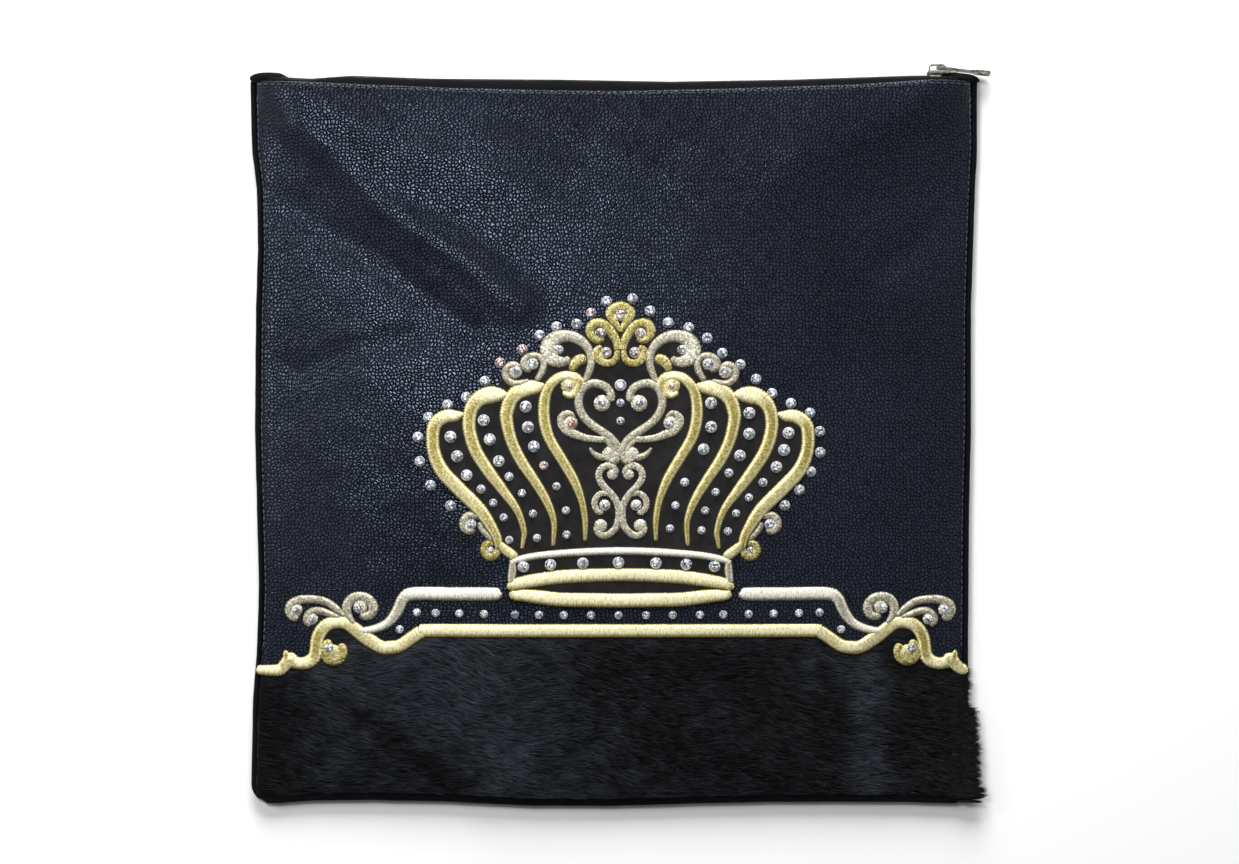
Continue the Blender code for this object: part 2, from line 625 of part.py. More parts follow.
def edge_piping():
    """The round bound edge round three sides, between the front and the back."""
    path = piping_path()
    curve = bpy.data.curves.new("edge_piping", "CURVE")
    curve.dimensions = "3D"
    curve.bevel_depth = PIPING_RADIUS * MM
    curve.bevel_resolution = 1
    curve.use_fill_caps = True
    spline = curve.splines.new("POLY")
    spline.points.add(len(path) - 1)
    for point, (x, y) in zip(spline.points, path):
        point.co = (x * MM, y * MM, PIPING_HEIGHT * MM, 1.0)
    obj = bpy.data.objects.new("edge_piping", curve)
    PARTS.objects.link(obj)
    curve.materials.append(make_material("edge_piping", "back_leather"))
    return obj


# Lofts and stitched strips

def loft(shape, sections):
    """Skin a row of closed sections of equal count, and cap both ends."""
    rings = [[shape.verts.new(point) for point in section] for section in sections]
    for ring, following in zip(rings, rings[1:]):
        for i in range(len(ring)):
            j = (i + 1) % len(ring)
            shape.faces.new((ring[i], ring[j], following[j], following[i]))
    shape.faces.new(reversed(rings[0]))
    shape.faces.new(rings[-1])


def strip(rows, mirror, lift, height=THREAD_HEIGHT):
    """A padded line of satin stitching, laid on the bag along the rows."""
    path = through(rows)
    path[:, 0] = CROWN_AXIS_X + mirror * path[:, 0]
    path[:, 1] += CROWN_BASE_Y
    ahead = np.gradient(path[:, :2], axis=0)
    ahead /= np.linalg.norm(ahead, axis=1)[:, None]
    sections = []
    for (x, y, width), (along_x, along_y) in zip(path, ahead):
        section = []
        for across, rise in ((-0.5, 0), (0.5, 0), (0.5 * THREAD_TOP_SHARE, 1),
                             (-0.5 * THREAD_TOP_SHARE, 1)):
            vertex_x = x - along_y * across * width
            vertex_y = y + along_x * across * width
            z = float(front_height(vertex_x, vertex_y)) + lift + rise * height
            section.append((vertex_x, vertex_y, z))
        sections.append(section)
    shape = bmesh.new()
    loft(shape, sections)
    return shape


def fused(name, finish, strokes, lift):
    """One body of stitching from strokes that run into each other."""
    pieces = [strip(rows, mirror, lift, height=THREAD_HEIGHT - STROKE_STEP * place)
              for place, (rows, mirror) in enumerate(strokes)]
    obj = part(name, pieces[0], finish)
    for place, piece in enumerate(pieces[1:], 1):
        combine(obj, cutter(f"{name}_stroke_{place}", piece), "UNION")
    return obj


def gold_ribs():
    """Four bowed ribs on each side of the crown."""
    for side_name, mirror in SIDES:
        for number, rows in enumerate(RIBS, 1):
            part(f"gold_rib_{side_name}_{number}", strip(rows, mirror, ON_GROUND), "gold_thread")


def crown_stitching():
    """Band, scrolls and finial of the crown."""
    fused("gold_top_scrolls", "gold_thread", [
        (TOP_SCROLL, 1), (TOP_SCROLL, -1), (TOP_LOWER_SCROLL, 1), (TOP_LOWER_SCROLL, -1),
        (FINIAL, 1), (FINIAL, -1)], ON_GROUND)
    fused("silver_centre_scrolls", "silver_thread", [
        (HEART, 1), (HEART, -1), (LOWER_SCROLL, 1), (LOWER_SCROLL, -1),
        (FLYING_SCROLL, 1), (FLYING_SCROLL, -1), (MIDDLE_CURL, 1), (MIDDLE_CURL, -1)], ON_GROUND)
    fused("gold_band_lens", "gold_thread", [
        (whole_width(BAND_UPPER), 1), (whole_width(BAND_LOWER), 1)], ON_GROUND)
    part("silver_band_line", strip(whole_width(BAND_LINE), 1, ON_GROUND), "silver_thread")
    for side_name, mirror in SIDES:
        for name, rows, lift, finish in (
                ("silver_c_scroll", C_SCROLL, ON_GROUND, "silver_thread"),
                ("silver_ring_scroll", arc(*RING_SCROLL), ON_GROUND, "silver_thread"),
                ("silver_small_ring", arc(*SMALL_RING_SCROLL), ON_GROUND, "silver_thread"),
                ("silver_side_scroll", SIDE_SCROLL, ON_LEATHER, "silver_thread"),
                ("gold_side_curl", arc(*SIDE_CURL), ON_LEATHER, "gold_thread")):
            part(f"{name}_{side_name}", strip(rows, mirror, lift), finish)


def border_stitching():
    """The gold border over the seam, the silver bars above it and the corner scrolls."""
    rows = whole_width(BORDER)
    end_left = float(left_side(-117)) + 0.5 - CROWN_AXIS_X
    end_right = float(right_side(-117)) - 0.5 - CROWN_AXIS_X
    rows = [(end_left, -32.5, 4)] + rows + [(end_right, -34.0, 3.4)]
    part("gold_border", strip(rows, 1, ON_LEATHER), "gold_thread")
    for side_name, mirror in SIDES:
        for name, rows in (("silver_bar", SILVER_BAR), ("silver_corner_c", CORNER_C),
                           ("silver_leaf_scroll", CORNER_LEAF),
                           ("silver_small_scroll", CORNER_SMALL)):
            part(f"{name}_{side_name}", strip(rows, mirror, ON_LEATHER), "silver_thread")
        part(f"gold_corner_curl_{side_name}",
             strip(arc(*CORNER_CURL), mirror, ON_FUR), "gold_thread")


# Ground and stones

def crown_ground():
    """The suede shape under the crown, with its columns of stones set in it."""
    half = [(CROWN_AXIS_X + x, CROWN_BASE_Y + y) for x, y in GROUND_OUTLINE]
    other = [(2 * CROWN_AXIS_X - x, y) for x, y in reversed(half[1:-1])]
    outline = half + other
    places = np.array(outline)
    low, high = places.min(axis=0) - 2, places.max(axis=0) + 2
    shape = bmesh.new()
    columns, rows = GROUND_CELLS
    bmesh.ops.create_grid(shape, x_segments=columns, y_segments=rows, size=1.0)
    for vertex in shape.verts:
        x = low[0] + (0.5 + 0.5 * vertex.co.x) * (high[0] - low[0])
        y = low[1] + (0.5 + 0.5 * vertex.co.y) * (high[1] - low[1])
        vertex.co = (x, y, float(front_height(x, y)) + GROUND_LIFT + GROUND_THICK)
    obj = part("crown_ground", shape, "suede")
    face_up(obj)
    thicken(obj, GROUND_THICK)
    prism = bmesh.new()
    loft(prism, [[(x, y, z) for x, y in outline] for z in (0.0, BAG_DEPTH + 20.0)])
    combine(obj, cutter("ground_outline", prism), "INTERSECT")
    combine(obj, cutter("crown_stones", stones(crown_places(), GROUND_LIFT + GROUND_THICK)),
            "UNION")
    return obj


def halo_places():
    """Centres and radii of the stones round the crown, both halves."""
    return [(mirror * x, y, STONE_RADIUS) for x, y in evenly(HALO, HALO_COUNT)
            for mirror in (-1, 1)]


def crown_places():
    """Centres and radii of the stones in the crown."""
    places = [(0.0, AXIS_STONE_Y, STONE_RADIUS)]
    for column in STONE_COLUMNS:
        for x, y in evenly(column, COLUMN_COUNT)[:LARGE_IN_COLUMN]:
            places += [(mirror * x, y, STONE_RADIUS) for mirror in (-1, 1)]
    for number in range(-BAND_STONES_HALF, BAND_STONES_HALF + 1):
        x = number * BAND_STONE_STEP
        places.append((x, BAND_STONE_Y - BAND_STONE_DROP * x * x, STONE_RADIUS - 0.3))
    return places


def stones(places, lift):
    """Round stones, each with a table and a ring of facets, rooted in what carries them."""
    shape = bmesh.new()
    for x, y, radius in places:
        world_x = CROWN_AXIS_X + x
        world_y = CROWN_BASE_Y + y
        base = float(front_height(world_x, world_y)) + lift - STONE_ROOT
        depth = STONE_HEIGHT + STONE_ROOT
        middle = Matrix.Translation((world_x, world_y, base + 0.5 * depth))
        bmesh.ops.create_cone(shape, cap_ends=True, segments=STONE_SIDES, radius1=radius,
                              radius2=radius * STONE_TABLE_SHARE, depth=depth, matrix=middle)
    return shape


# Zip

def tape_path(x, up):
    """Section of one tape from the chain to under the panel: y, z."""
    chain_y = float(zip_ridge(x)) - CHAIN_UNDER_RIDGE
    edge_y = float(leather_top(x)) - TAPE_FROM_EDGE
    half = 0.5 * CHAIN_WIDTH + TAPE_FROM_CHAIN
    if up > 0:
        outer = float(front_height(x, leather_top(x))) - LEATHER_THICK
        straight = TAPE_STRAIGHT_FRONT
    else:
        outer = float(back_height(x, edge_y)) + BACK_THICK
        straight = TAPE_STRAIGHT_BACK
    outer -= up * (TAPE_CLEAR + 0.5 * TAPE_THICK)
    start = ZIP_HEIGHT + up * half
    if (outer - start) * up < TAPE_LEAST_RISE:
        start = outer - up * TAPE_LEAST_RISE
    bend = start + straight * (outer - start)
    reach = chain_y - edge_y
    return [(chain_y, start), (chain_y, bend),
            (chain_y - 0.293 * reach, bend + 0.707 * (outer - bend)),
            (chain_y - reach, outer), (edge_y - TAPE_UNDER_LEATHER, outer)]


def zip_tape(name, up):
    """One woven tape of the zip, curving from the chain to under its panel."""
    shape = bmesh.new()
    sections = []
    middle = 0.5 * (TAPE_LEFT + TAPE_RIGHT)
    for x in middle + 0.5 * (TAPE_RIGHT - TAPE_LEFT) * crowd(np.linspace(-1, 1, TAPE_STATIONS)):
        path = np.array(tape_path(x, up))
        ahead = np.gradient(path, axis=0)
        ahead /= np.linalg.norm(ahead, axis=1)[:, None]
        offset = 0.5 * TAPE_THICK * np.column_stack([-ahead[:, 1], ahead[:, 0]])
        ring = np.vstack([path + offset, (path - offset)[::-1]])
        sections.append([(x, y, z) for y, z in ring])
    loft(shape, sections)
    return part(name, shape, "zip_tape")


def zip_chain():
    """The closed coil, from the left end of the zip into the slider."""
    post_x = SLIDER_CENTRE[0] + 0.5 * SLIDER_LENGTH - SLIDER_POST
    shape = bmesh.new()
    half_width = 0.5 * CHAIN_WIDTH
    half_thick = 0.5 * CHAIN_THICK
    outline = [(-1, -0.5), (-0.5, -1), (0.5, -1), (1, -0.5),
               (1, 0.5), (0.5, 1), (-0.5, 1), (-1, 0.5)]
    sections = []
    for x in np.linspace(CHAIN_LEFT, post_x - CHAIN_FROM_POST, CHAIN_STATIONS):
        y = float(zip_ridge(x)) - CHAIN_UNDER_RIDGE
        sections.append([(x, y + half_thick * v, ZIP_HEIGHT + half_width * w) for v, w in outline])
    loft(shape, sections)
    return part("zip_chain", shape, "nylon")


def box(low, high):
    """A box between two corners."""
    shape = bmesh.new()
    bmesh.ops.create_cube(shape, size=1.0)
    low, high = Vector(low), Vector(high)
    for vertex in shape.verts:
        vertex.co = [low[i] + (0.5 + vertex.co[i]) * (high[i] - low[i]) for i in range(3)]
    return shape


def place(obj, centre, droop=0.0):
    """Set a hard zip piece at its place, rolled with the zip and turned about its hinge."""
    roll = Matrix.Rotation(math.radians(-ZIP_ROLL), 4, "X")
    turn = roll @ Matrix.Rotation(math.radians(droop), 4, "Z")
    obj.location = Vector(centre) * MM
    obj.rotation_euler = turn.to_euler()


def zip_slider():
    """The slider: two plates joined by a post, open at both sides for the tapes, with a bail."""
    half_length = 0.5 * SLIDER_LENGTH
    half_thick = 0.5 * SLIDER_THICK
    half_width = 0.5 * SLIDER_WIDTH
    inner = half_thick - SLIDER_PLATE
    slot = 0.5 * SLIDER_SLOT
    past = half_length + 1.0
    body = box((-half_length, -half_thick, -half_width), (half_length, half_thick, half_width))
    obj = part("zip_slider", body, "nickel")
    rounding = obj.modifiers.new("rounded", "BEVEL")
    rounding.width = SLIDER_ROUNDING * MM
    rounding.segments = 1
    tunnel = box((-past, -inner, -half_width + SLIDER_RIM),
                 (half_length - SLIDER_POST, inner, half_width - SLIDER_RIM))
    slot_low = box((-past, -slot, -half_width - 1.0), (past, slot, -SLIDER_RIB_HALF))
    slot_high = box((-past, -slot, SLIDER_RIB_HALF), (past, slot, half_width + 1.0))
    helpers = [(cutter("slider_tunnel", tunnel), "DIFFERENCE"),
               (cutter("slider_slot_low", slot_low), "DIFFERENCE"),
               (cutter("slider_slot_high", slot_high), "DIFFERENCE"),
               (cutter("slider_bail", bail()), "UNION")]
    place(obj, SLIDER_CENTRE)
    for helper, operation in helpers:
        place(helper, SLIDER_CENTRE)
        combine(obj, helper, operation)
    return obj


def bail():
    """The arch on the slider that holds the pull: a flat bar, bent down at both ends."""
    root = 0.5 * SLIDER_THICK - BAIL_ROOT
    pivot_x = PULL_PIVOT[0] - SLIDER_CENTRE[0]
    crest = PULL_PIVOT[1] - SLIDER_CENTRE[1] + 0.5 * PULL_THICK + BAIL_CLEAR
    bend_x = BAIL_REACH - BAIL_SHOULDER
    bend_y = crest - BAIL_SHOULDER
    path = np.array([(-BAIL_REACH, root), (-BAIL_REACH, bend_y), (-bend_x, crest),
                     (bend_x, crest), (BAIL_REACH, bend_y), (BAIL_REACH, root)]) + (pivot_x, 0.0)
    ahead = np.gradient(path, axis=0)
    ahead /= np.linalg.norm(ahead, axis=1)[:, None]
    outer = path + BAIL_WIRE * np.column_stack([-ahead[:, 1], ahead[:, 0]])
    low, high = -BAIL_HALF_WIDTH, BAIL_HALF_WIDTH
    shape = bmesh.new()
    loft(shape, [[(x, y, low), (x, y, high), (far_x, far_y, high), (far_x, far_y, low)]
                 for (x, y), (far_x, far_y) in zip(path, outer)])
    return shape


def pull_outline(half_widths, low, high):
    """Corners of a plate symmetric about its length, from half widths along it."""
    upper = [(low + (high - low) * share, half) for share, half in half_widths]
    return upper + [(x, -half) for x, half in reversed(upper)]


def plate(name, outline, thick):
    """A flat outline given its thickness: along X, with its width along Z."""
    curve = bpy.data.curves.new(name, "CURVE")
    curve.dimensions = "2D"
    curve.fill_mode = "BOTH"
    curve.extrude = 0.5 * thick * MM
    spline = curve.splines.new("POLY")
    spline.points.add(len(outline) - 1)
    for point, (x, z) in zip(spline.points, outline):
        point.co = (x * MM, z * MM, 0.0, 1.0)
    spline.use_cyclic_u = True
    flat = bpy.data.objects.new(name + "_outline", curve)
    CUTTERS.objects.link(flat)
    bpy.context.view_layer.update()
    evaluated = flat.evaluated_get(bpy.context.evaluated_depsgraph_get())
    mesh = bpy.data.meshes.new_from_object(evaluated)
    bpy.data.objects.remove(flat, do_unlink=True)
    solid = bmesh.new()
    solid.from_mesh(mesh)
    bmesh.ops.remove_doubles(solid, verts=solid.verts, dist=0.01 * MM)
    bmesh.ops.scale(solid, vec=(1 / MM, 1 / MM, 1 / MM), verts=solid.verts)
    bmesh.ops.rotate(solid, cent=(0, 0, 0), matrix=Matrix.Rotation(math.radians(90), 3, "X"),
                     verts=solid.verts)
    return solid


def zip_pull():
    """The pull: an eye round the bail, a shank, and a wide end with a slot."""
    hinge = bpy.data.objects.new("pull_hinge", None)
    PARTS.objects.link(hinge)
    place(hinge, PULL_PIVOT, PULL_DROOP)
    half_bar = 0.5 * PULL_BAR
    body = pull_outline(PULL_BODY, -half_bar, PULL_LENGTH)
    obj = part("zip_pull", plate("zip_pull", body, PULL_THICK), "nickel")
    obj.parent = hinge
    for name, outline in (("pull_eye", pull_outline(PULL_EYE, half_bar, PULL_EYE_END)),
                          ("pull_slot", pull_outline(PULL_SLOT, *PULL_SLOT_SPAN))):
        helper = cutter(name, plate(name, outline, PULL_THICK + 2.0))
        helper.parent = hinge
        combine(obj, helper, "DIFFERENCE")
    return obj


clear_scene()
PARTS = new_collection("tallit_and_tefillin_bag")
CUTTERS = new_collection("cutters")
shade_smooth(front_panel())
shade_smooth(fur_panel())
shade_smooth(back_panel())
edge_piping()
shade_smooth(crown_ground())
gold_ribs()
crown_stitching()
border_stitching()
zip_tape("zip_tape_front", 1)
zip_tape("zip_tape_back", -1)
shade_smooth(zip_chain(), sharp_degrees=50.0)
zip_slider()
zip_pull()
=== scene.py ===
"""The looks of the tallit and tefillin bag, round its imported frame.

The bag lies on its back: +X is right as seen from the front, +Y runs towards the zip and +Z out of
the decorated face. Tables are in millimetres, the finished meshes in metres.
"""
import math

import bpy
import numpy as np
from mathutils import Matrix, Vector
from mathutils.geometry import delaunay_2d_cdt


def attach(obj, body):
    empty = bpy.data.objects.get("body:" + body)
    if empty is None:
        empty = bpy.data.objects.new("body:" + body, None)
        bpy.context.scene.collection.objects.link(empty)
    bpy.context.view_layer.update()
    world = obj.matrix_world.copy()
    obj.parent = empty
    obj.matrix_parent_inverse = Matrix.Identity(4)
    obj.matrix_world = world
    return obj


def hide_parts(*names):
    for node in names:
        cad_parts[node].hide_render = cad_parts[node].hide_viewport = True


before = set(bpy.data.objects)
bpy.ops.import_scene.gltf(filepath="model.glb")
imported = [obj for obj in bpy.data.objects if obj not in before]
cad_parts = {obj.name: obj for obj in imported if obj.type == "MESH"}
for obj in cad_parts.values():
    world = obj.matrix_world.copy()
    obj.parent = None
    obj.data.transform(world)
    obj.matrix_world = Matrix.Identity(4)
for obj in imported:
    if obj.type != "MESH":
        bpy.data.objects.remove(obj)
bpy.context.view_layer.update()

# Sizes shared with the solids
MM = 0.001
BACK_THICK = 1.6
BAG_DEPTH = 26.0
SIDE_SEAM_TOP = 7.5
BACK_SEAM_LIFT = 3.4
BACK_CURL_WIDTH = 15.0
ZIP_FLAT_BAND = 14.0
BULGE_REACH = 170.0
BULGE_REACH_AT_ZIP = 26.0
ZIP_EDGE_SHARE = 0.6
ZIP_EDGE_BAND = 70.0
FOLD_FADE = 14.0
PIPING_RADIUS = 1.4
PIPING_HEIGHT = 5.8
PIPING_TOP = 174.0
PIPING_CORNER = 7.0
PANEL_INSET = 3.1
PILE_HEIGHT = 3.1
HIDE_DROP = 0.5
CURL_CLEARING = 15.0
PILE_CLEAR = 4.0
PILE_RAMP = 7.0
FUR_OVERHANG = 1.5
OVERHANG_DELAY = 1.9
FUR_EDGE_X = 170.0
FUR_PAST_BOTTOM = 1.0
GROUND_THICK = 0.8
GROUND_LIFT = 0.3
CROWN_AXIS_X = 0.25
CROWN_BASE_Y = -84.0
STONE_SIDES = 8
SIDES = (("right", 1), ("left", -1))
ZIP_HEIGHT = 7.5
TAPE_FROM_CHAIN = 0.35
TAPE_FROM_EDGE = 1.0
TAPE_STRAIGHT_FRONT = 0.45
TAPE_STRAIGHT_BACK = 0.8
CHAIN_UNDER_RIDGE = 0.9
CHAIN_WIDTH = 5.6
CHAIN_LEFT = -172.0
TAPE_LEFT = -174.5
TAPE_RIGHT = 169.0
TAPE_UNDER_LEATHER = 6.0
SLIDER_CENTRE = (159.6, 180.3, ZIP_HEIGHT)
SLIDER_LENGTH = 11.6
EDGE_CROWDING = 0.6
STATION_TURN = 40.0
CURVE_STEPS = 12

# Outline of the bag: where each side lies along its length
LEFT_SIDE = [  # y, x
    (-186, -184), (-179, -185), (-131, -184), (-106, -182), (-76, -181), (-36, -182),
    (4, -183), (64, -182.5), (94, -181.5), (124, -182), (144, -184.5), (186, -185.5)]
RIGHT_SIDE = [  # y, x
    (-186, 174.5), (-106, 174.5), (-36, 175), (4, 176), (64, 176), (94, 177), (124, 178),
    (144, 179), (186, 179)]
BOTTOM_SIDE = [  # x, y
    (-186, -182), (-175, -184), (-155, -182.5), (-125, -182), (-85, -183), (-45, -185),
    (-5, -185), (35, -184), (75, -183), (140, -183), (186, -184.5)]
LEATHER_TOP = [  # x, y
    (-186, 178.5), (-165, 177.5), (-135, 176.3), (-85, 174.2), (-35, 173), (0, 172.7),
    (40, 173.5), (90, 175), (115, 175.8), (140, 177.3), (154, 178.4), (186, 178.3)]
ZIP_RIDGE = [  # x, y
    (-186, 179.5), (-176, 181), (-165, 180), (-155, 179.5), (-135, 181), (-95, 179.5),
    (-30, 179), (25, 178), (85, 179), (115, 180), (145, 181), (170, 181.2), (186, 180)]

# Creases (below zero) and ridges in the two front panels: path, half width, height
FOLDS = [
    ([(-162, 155), (-120, 116), (-80, 91), (-50, 65)], 9, 2.2),
    ([(-172, 119), (-147, 103), (-120, 88), (-95, 68), (-77, 54)], 9, -2.0),
    ([(-179, 42), (-160, 33), (-135, 43), (-100, 51)], 8, -1.2),
    ([(173, 124), (148, 94), (131, 86)], 8, -1.2),
    ([(150, 76), (138, 70)], 12, 0.8),
    ([(-45, -115), (-52, -176)], 32, 1.4),
    ([(118, -118), (126, -176)], 12, -1.0),
]

# Gold border, right half from the crown's axis, below the crown's base: x, y, width
BORDER = [
    (0, -12.3, 5.9), (60, -12.3, 5.9), (96, -12.3, 5.9), (99.6, -13.1, 5.9), (103.2, -15.3, 5.8),
    (109.8, -19.8, 5.8), (114.8, -20.8, 6), (119.8, -20.5, 6), (127.8, -15.5, 6.4),
    (135.8, -9.5, 5.8), (140.8, -8.3, 5.6), (145.8, -9.3, 5.8), (149.3, -12.3, 6),
    (151.5, -17, 6), (152.5, -24.3, 6), (154.8, -27.5, 5.8), (158.8, -29, 5.4),
    (162.8, -28.5, 5.4), (165.3, -27, 6.4), (168, -30, 5.6), (171.5, -32.5, 5.2)]

# Crown, right half: x from its axis, y above its base, width of the stitching
RIBS = [
    [(28.8, 106.2, 1.8), (25.2, 105, 3.4), (21.8, 107, 4), (20.2, 110.5, 4.2),
     (22.2, 113.5, 4.4), (26.2, 114.5, 4.2), (30.8, 113.5, 4.4), (34.8, 110, 4.6),
     (37.2, 105, 4.9), (38.1, 97.5, 5.2), (37.4, 90, 5.2), (34.9, 82.5, 4.9), (28.9, 72.5, 4.6),
     (23.1, 62.5, 4.2), (19.3, 52.5, 3), (17.6, 42.5, 2.4), (17.6, 32.5, 1.2)],
    [(37.8, 110.2, 1.2), (41, 109, 5.4), (46, 108.4, 7.2), (50.6, 106.8, 7.2), (54.4, 103, 6.6),
     (56.3, 97.5, 6.2), (56.6, 92.5, 5.8), (54.3, 82.5, 5.3), (49.6, 72.5, 5.1),
     (42.9, 62.5, 4.5), (36.9, 52.5, 3.8), (33.2, 42.5, 2.5), (33.3, 32.5, 1.6), (33.6, 30, 1)],
    [(56, 105.3, 1.2), (59.5, 105.2, 5.6), (64.5, 105, 8), (69.5, 103.6, 7.4), (73, 100.3, 6.6),
     (75, 95, 6.1), (75.1, 87.5, 5.9), (72.1, 77.5, 5.8), (65.9, 67.5, 5.5), (58.4, 57.5, 4.5),
     (51.3, 47.5, 3.2), (48, 37.5, 2.3), (48.4, 32.5, 1.6), (49, 28.5, 1)],
    [(78, 95.6, 1.2), (82, 94.6, 5), (86.5, 94.4, 6), (91, 92, 6.2), (93.2, 87.5, 6),
     (93, 77.5, 6), (88.9, 67.5, 6.4), (79.6, 57.5, 6.5), (69.6, 47.5, 6), (63.1, 37.5, 4.6),
     (61, 32.5, 3.8), (60.6, 28.5, 3.2)],
]
RIB_FOOT = [(61, 31.4, 2.8), (57, 27.8, 4.4), (53, 24.8, 4.2), (51.8, 23.6, 3)]
FINIAL = [
    (-1.4, 149.4, 3), (0, 149.4, 3.8), (3.8, 147.6, 4), (5.2, 145, 4.4), (3.4, 142, 3.8),
    (1.4, 139, 2.8), (0.2, 136, 1.6)]
TOP_SCROLL = [
    (1.2, 126.5, 2.8), (1.8, 131, 3.5), (3.8, 135, 4), (6.5, 138.8, 4), (10.2, 140.8, 3.6),
    (13.8, 139.8, 4.2), (15.2, 136.5, 4), (13.5, 133, 3), (10.8, 132, 2.6), (8.2, 133.2, 1.8)]
TOP_LOWER_SCROLL = [
    (1.5, 127.5, 2.6), (2, 123.5, 3.2), (4.8, 121, 3.6), (8.8, 121.3, 4), (11.5, 124.2, 4.2),
    (11.5, 127.5, 3.4), (9.2, 129.2, 2)]
CRESCENT = [(17, 123, 4.2), (20.8, 122.2, 4.8), (23.3, 119.5, 4), (23.8, 116.5, 2.4)]
C_SCROLL = [
    (18.2, 111, 1.8), (16, 115.5, 2.8), (14.6, 121, 3.2), (15.4, 126.4, 3.4), (18.2, 130.6, 4.2),
    (23, 133.6, 4.8), (28.5, 134.2, 5.4), (33.5, 132.4, 6.6), (36, 128.2, 7.4),
    (34.8, 123.8, 6.6), (31, 121.6, 5.2), (27.4, 121.8, 3.6), (25.6, 123.8, 1.8)]
RING_SCROLL = [
    (41.8, 112, 2), (39, 116.5, 2.7), (38.2, 120.5, 2.7), (39.8, 123.5, 2.5), (43, 124.6, 2.5),
    (46.3, 123.5, 3), (48, 121, 3.2), (46.8, 118.2, 3), (44.2, 117.4, 2)]
SMALL_RING_SCROLL = [
    (45.5, 112, 1.6), (49.8, 110.8, 2.6), (53.3, 110.8, 2.8), (56.3, 112.8, 2.8),
    (57.4, 116, 2.8), (56, 118.9, 2.8), (53.2, 120, 2.8), (50.6, 118.7, 2.4), (50.2, 117, 1.6)]
HEART = [
    (5.3, 101.5, 3.5), (4.8, 105, 3.5), (6.8, 108.5, 3.5), (10.8, 110.4, 3.5), (14.8, 110.6, 3.5),
    (18.3, 108.6, 3.5), (20.3, 105, 3.5), (20.8, 101, 3.5), (19.8, 97, 3.5), (17.3, 93, 3.5),
    (13.3, 89.5, 3.5), (8.8, 86.5, 3.5), (4.3, 83, 3.5), (1.4, 79, 3.5), (1.1, 75.5, 3.5),
    (2.8, 72.4, 3.5), (6, 71.8, 3.2)]
LEAF_HOOK = [(7.2, 73.6, 2.6), (10.5, 74.3, 2.6), (13.2, 75.9, 1.8), (15.4, 78.6, 0.6)]
FLYING_SCROLL = [
    (2.6, 76.5, 2.2), (6.8, 82.3, 3), (11, 82.8, 3.2), (17.3, 83.5, 3.6), (22.3, 85.3, 4.2),
    (26.3, 87, 4.4), (29, 90, 4.2), (29.6, 93, 3.8), (27.6, 95.5, 3.2), (24.8, 95.6, 2.6),
    (22.6, 93.4, 1.4)]
LOWER_SCROLL = [
    (2.4, 65, 3), (2.8, 68, 3.2), (5.8, 69.8, 3.5), (9.3, 68.5, 3.5), (10.8, 65.5, 3.5),
    (10.3, 62.5, 3.5), (7.8, 59, 3.5), (4.8, 56, 3.5), (2.3, 52.5, 3.5), (1, 48.5, 3.5),
    (1, 43.5, 3.5), (2.3, 39, 3.5), (5.3, 36, 3.5), (8.3, 35, 3.4), (11.3, 36.5, 3),
    (12.6, 39.8, 2.2)]
MIDDLE_CURL = [
    (4.6, 55.4, 2.2), (9.3, 56, 3), (12.3, 53.5, 3.2), (12.8, 50, 3.2), (11.2, 47, 3),
    (8.3, 46.2, 2.4)]
BAND_LINE = [
    (0, 27.4, 3.2), (19.8, 26.8, 3.2), (39.8, 25.2, 3), (50.3, 23.2, 2.9), (53.8, 21.9, 2.4),
    (55, 21.2, 1.4)]
BAND_UPRIGHT = [(53.8, 22.4, 2.2), (53.7, 18.5, 3.3), (54.2, 14, 3.2), (54.6, 11, 2.4)]
BAND_UPPER = [
    (0, 15.6, 5.8), (14.8, 15.3, 6), (29.8, 14.5, 6.2), (39.8, 13.2, 6), (47.3, 12, 5.8),
    (52.3, 10.9, 5), (54.4, 9.6, 4.2), (55.3, 7.8, 2.8)]
BAND_LOWER = [
    (0, 2.8, 6.4), (14.8, 3, 6.4), (29.8, 3.3, 6.3), (39.8, 4.4, 6.2), (47.3, 5.2, 5.6),
    (52.5, 5.4, 4.4), (55, 7, 3.4)]
SILVER_BAR = [
    (59.3, 6.4, 1.5), (62, 6, 5.6), (84, 6, 5.9), (103.3, 6, 5.8), (108.4, 3.4, 5.2),
    (110.5, -1, 5), (112.8, -5, 4.6), (116, -8.6, 4), (120.6, -11, 3.6), (126, -12.4, 3.2),
    (130, -12.6, 2.6)]
SIDE_SCROLL = [
    (68.2, 44, 1.6), (72.2, 45, 2.8), (76, 44.8, 3.2), (78.2, 42, 3.2), (77.8, 38.8, 3.2),
    (75, 37.2, 3), (72.8, 38.5, 2)]
SIDE_LEAF = [
    (69.8, 41.8, 1.8), (69.4, 39.2, 2.4), (67.2, 36.2, 2.6), (64.2, 33.6, 2.4),
    (62.2, 32.2, 1.8)]
SIDE_CURL = [
    (61, 32, 2.6), (60.8, 27.8, 3.2), (62.9, 24.9, 3.4), (65.9, 24.8, 3.4), (67.9, 27.4, 3.2),
    (67.2, 30.2, 3), (65, 31.2, 2.6), (63.5, 30, 1.6)]
CORNER_C = [
    (133, -9.5, 2), (136, -5, 3.4), (136.6, -0.5, 4.2), (134.4, 3.2, 4.2), (130.2, 4.4, 4.2),
    (125.8, 3, 4.4), (123.4, -0.6, 4.4), (124.6, -4.4, 4), (128, -5.4, 3.2), (130, -4.6, 1.8)]
CORNER_LEAF = [
    (137.8, -5.5, 2), (142.8, -1, 3), (147.8, 2, 3.2), (154.2, 3, 3.4), (160.2, 2.6, 3.8),
    (164.4, 0.4, 4.2), (165.6, -2.6, 4), (164, -5.6, 3.6), (160.8, -6.4, 3)]
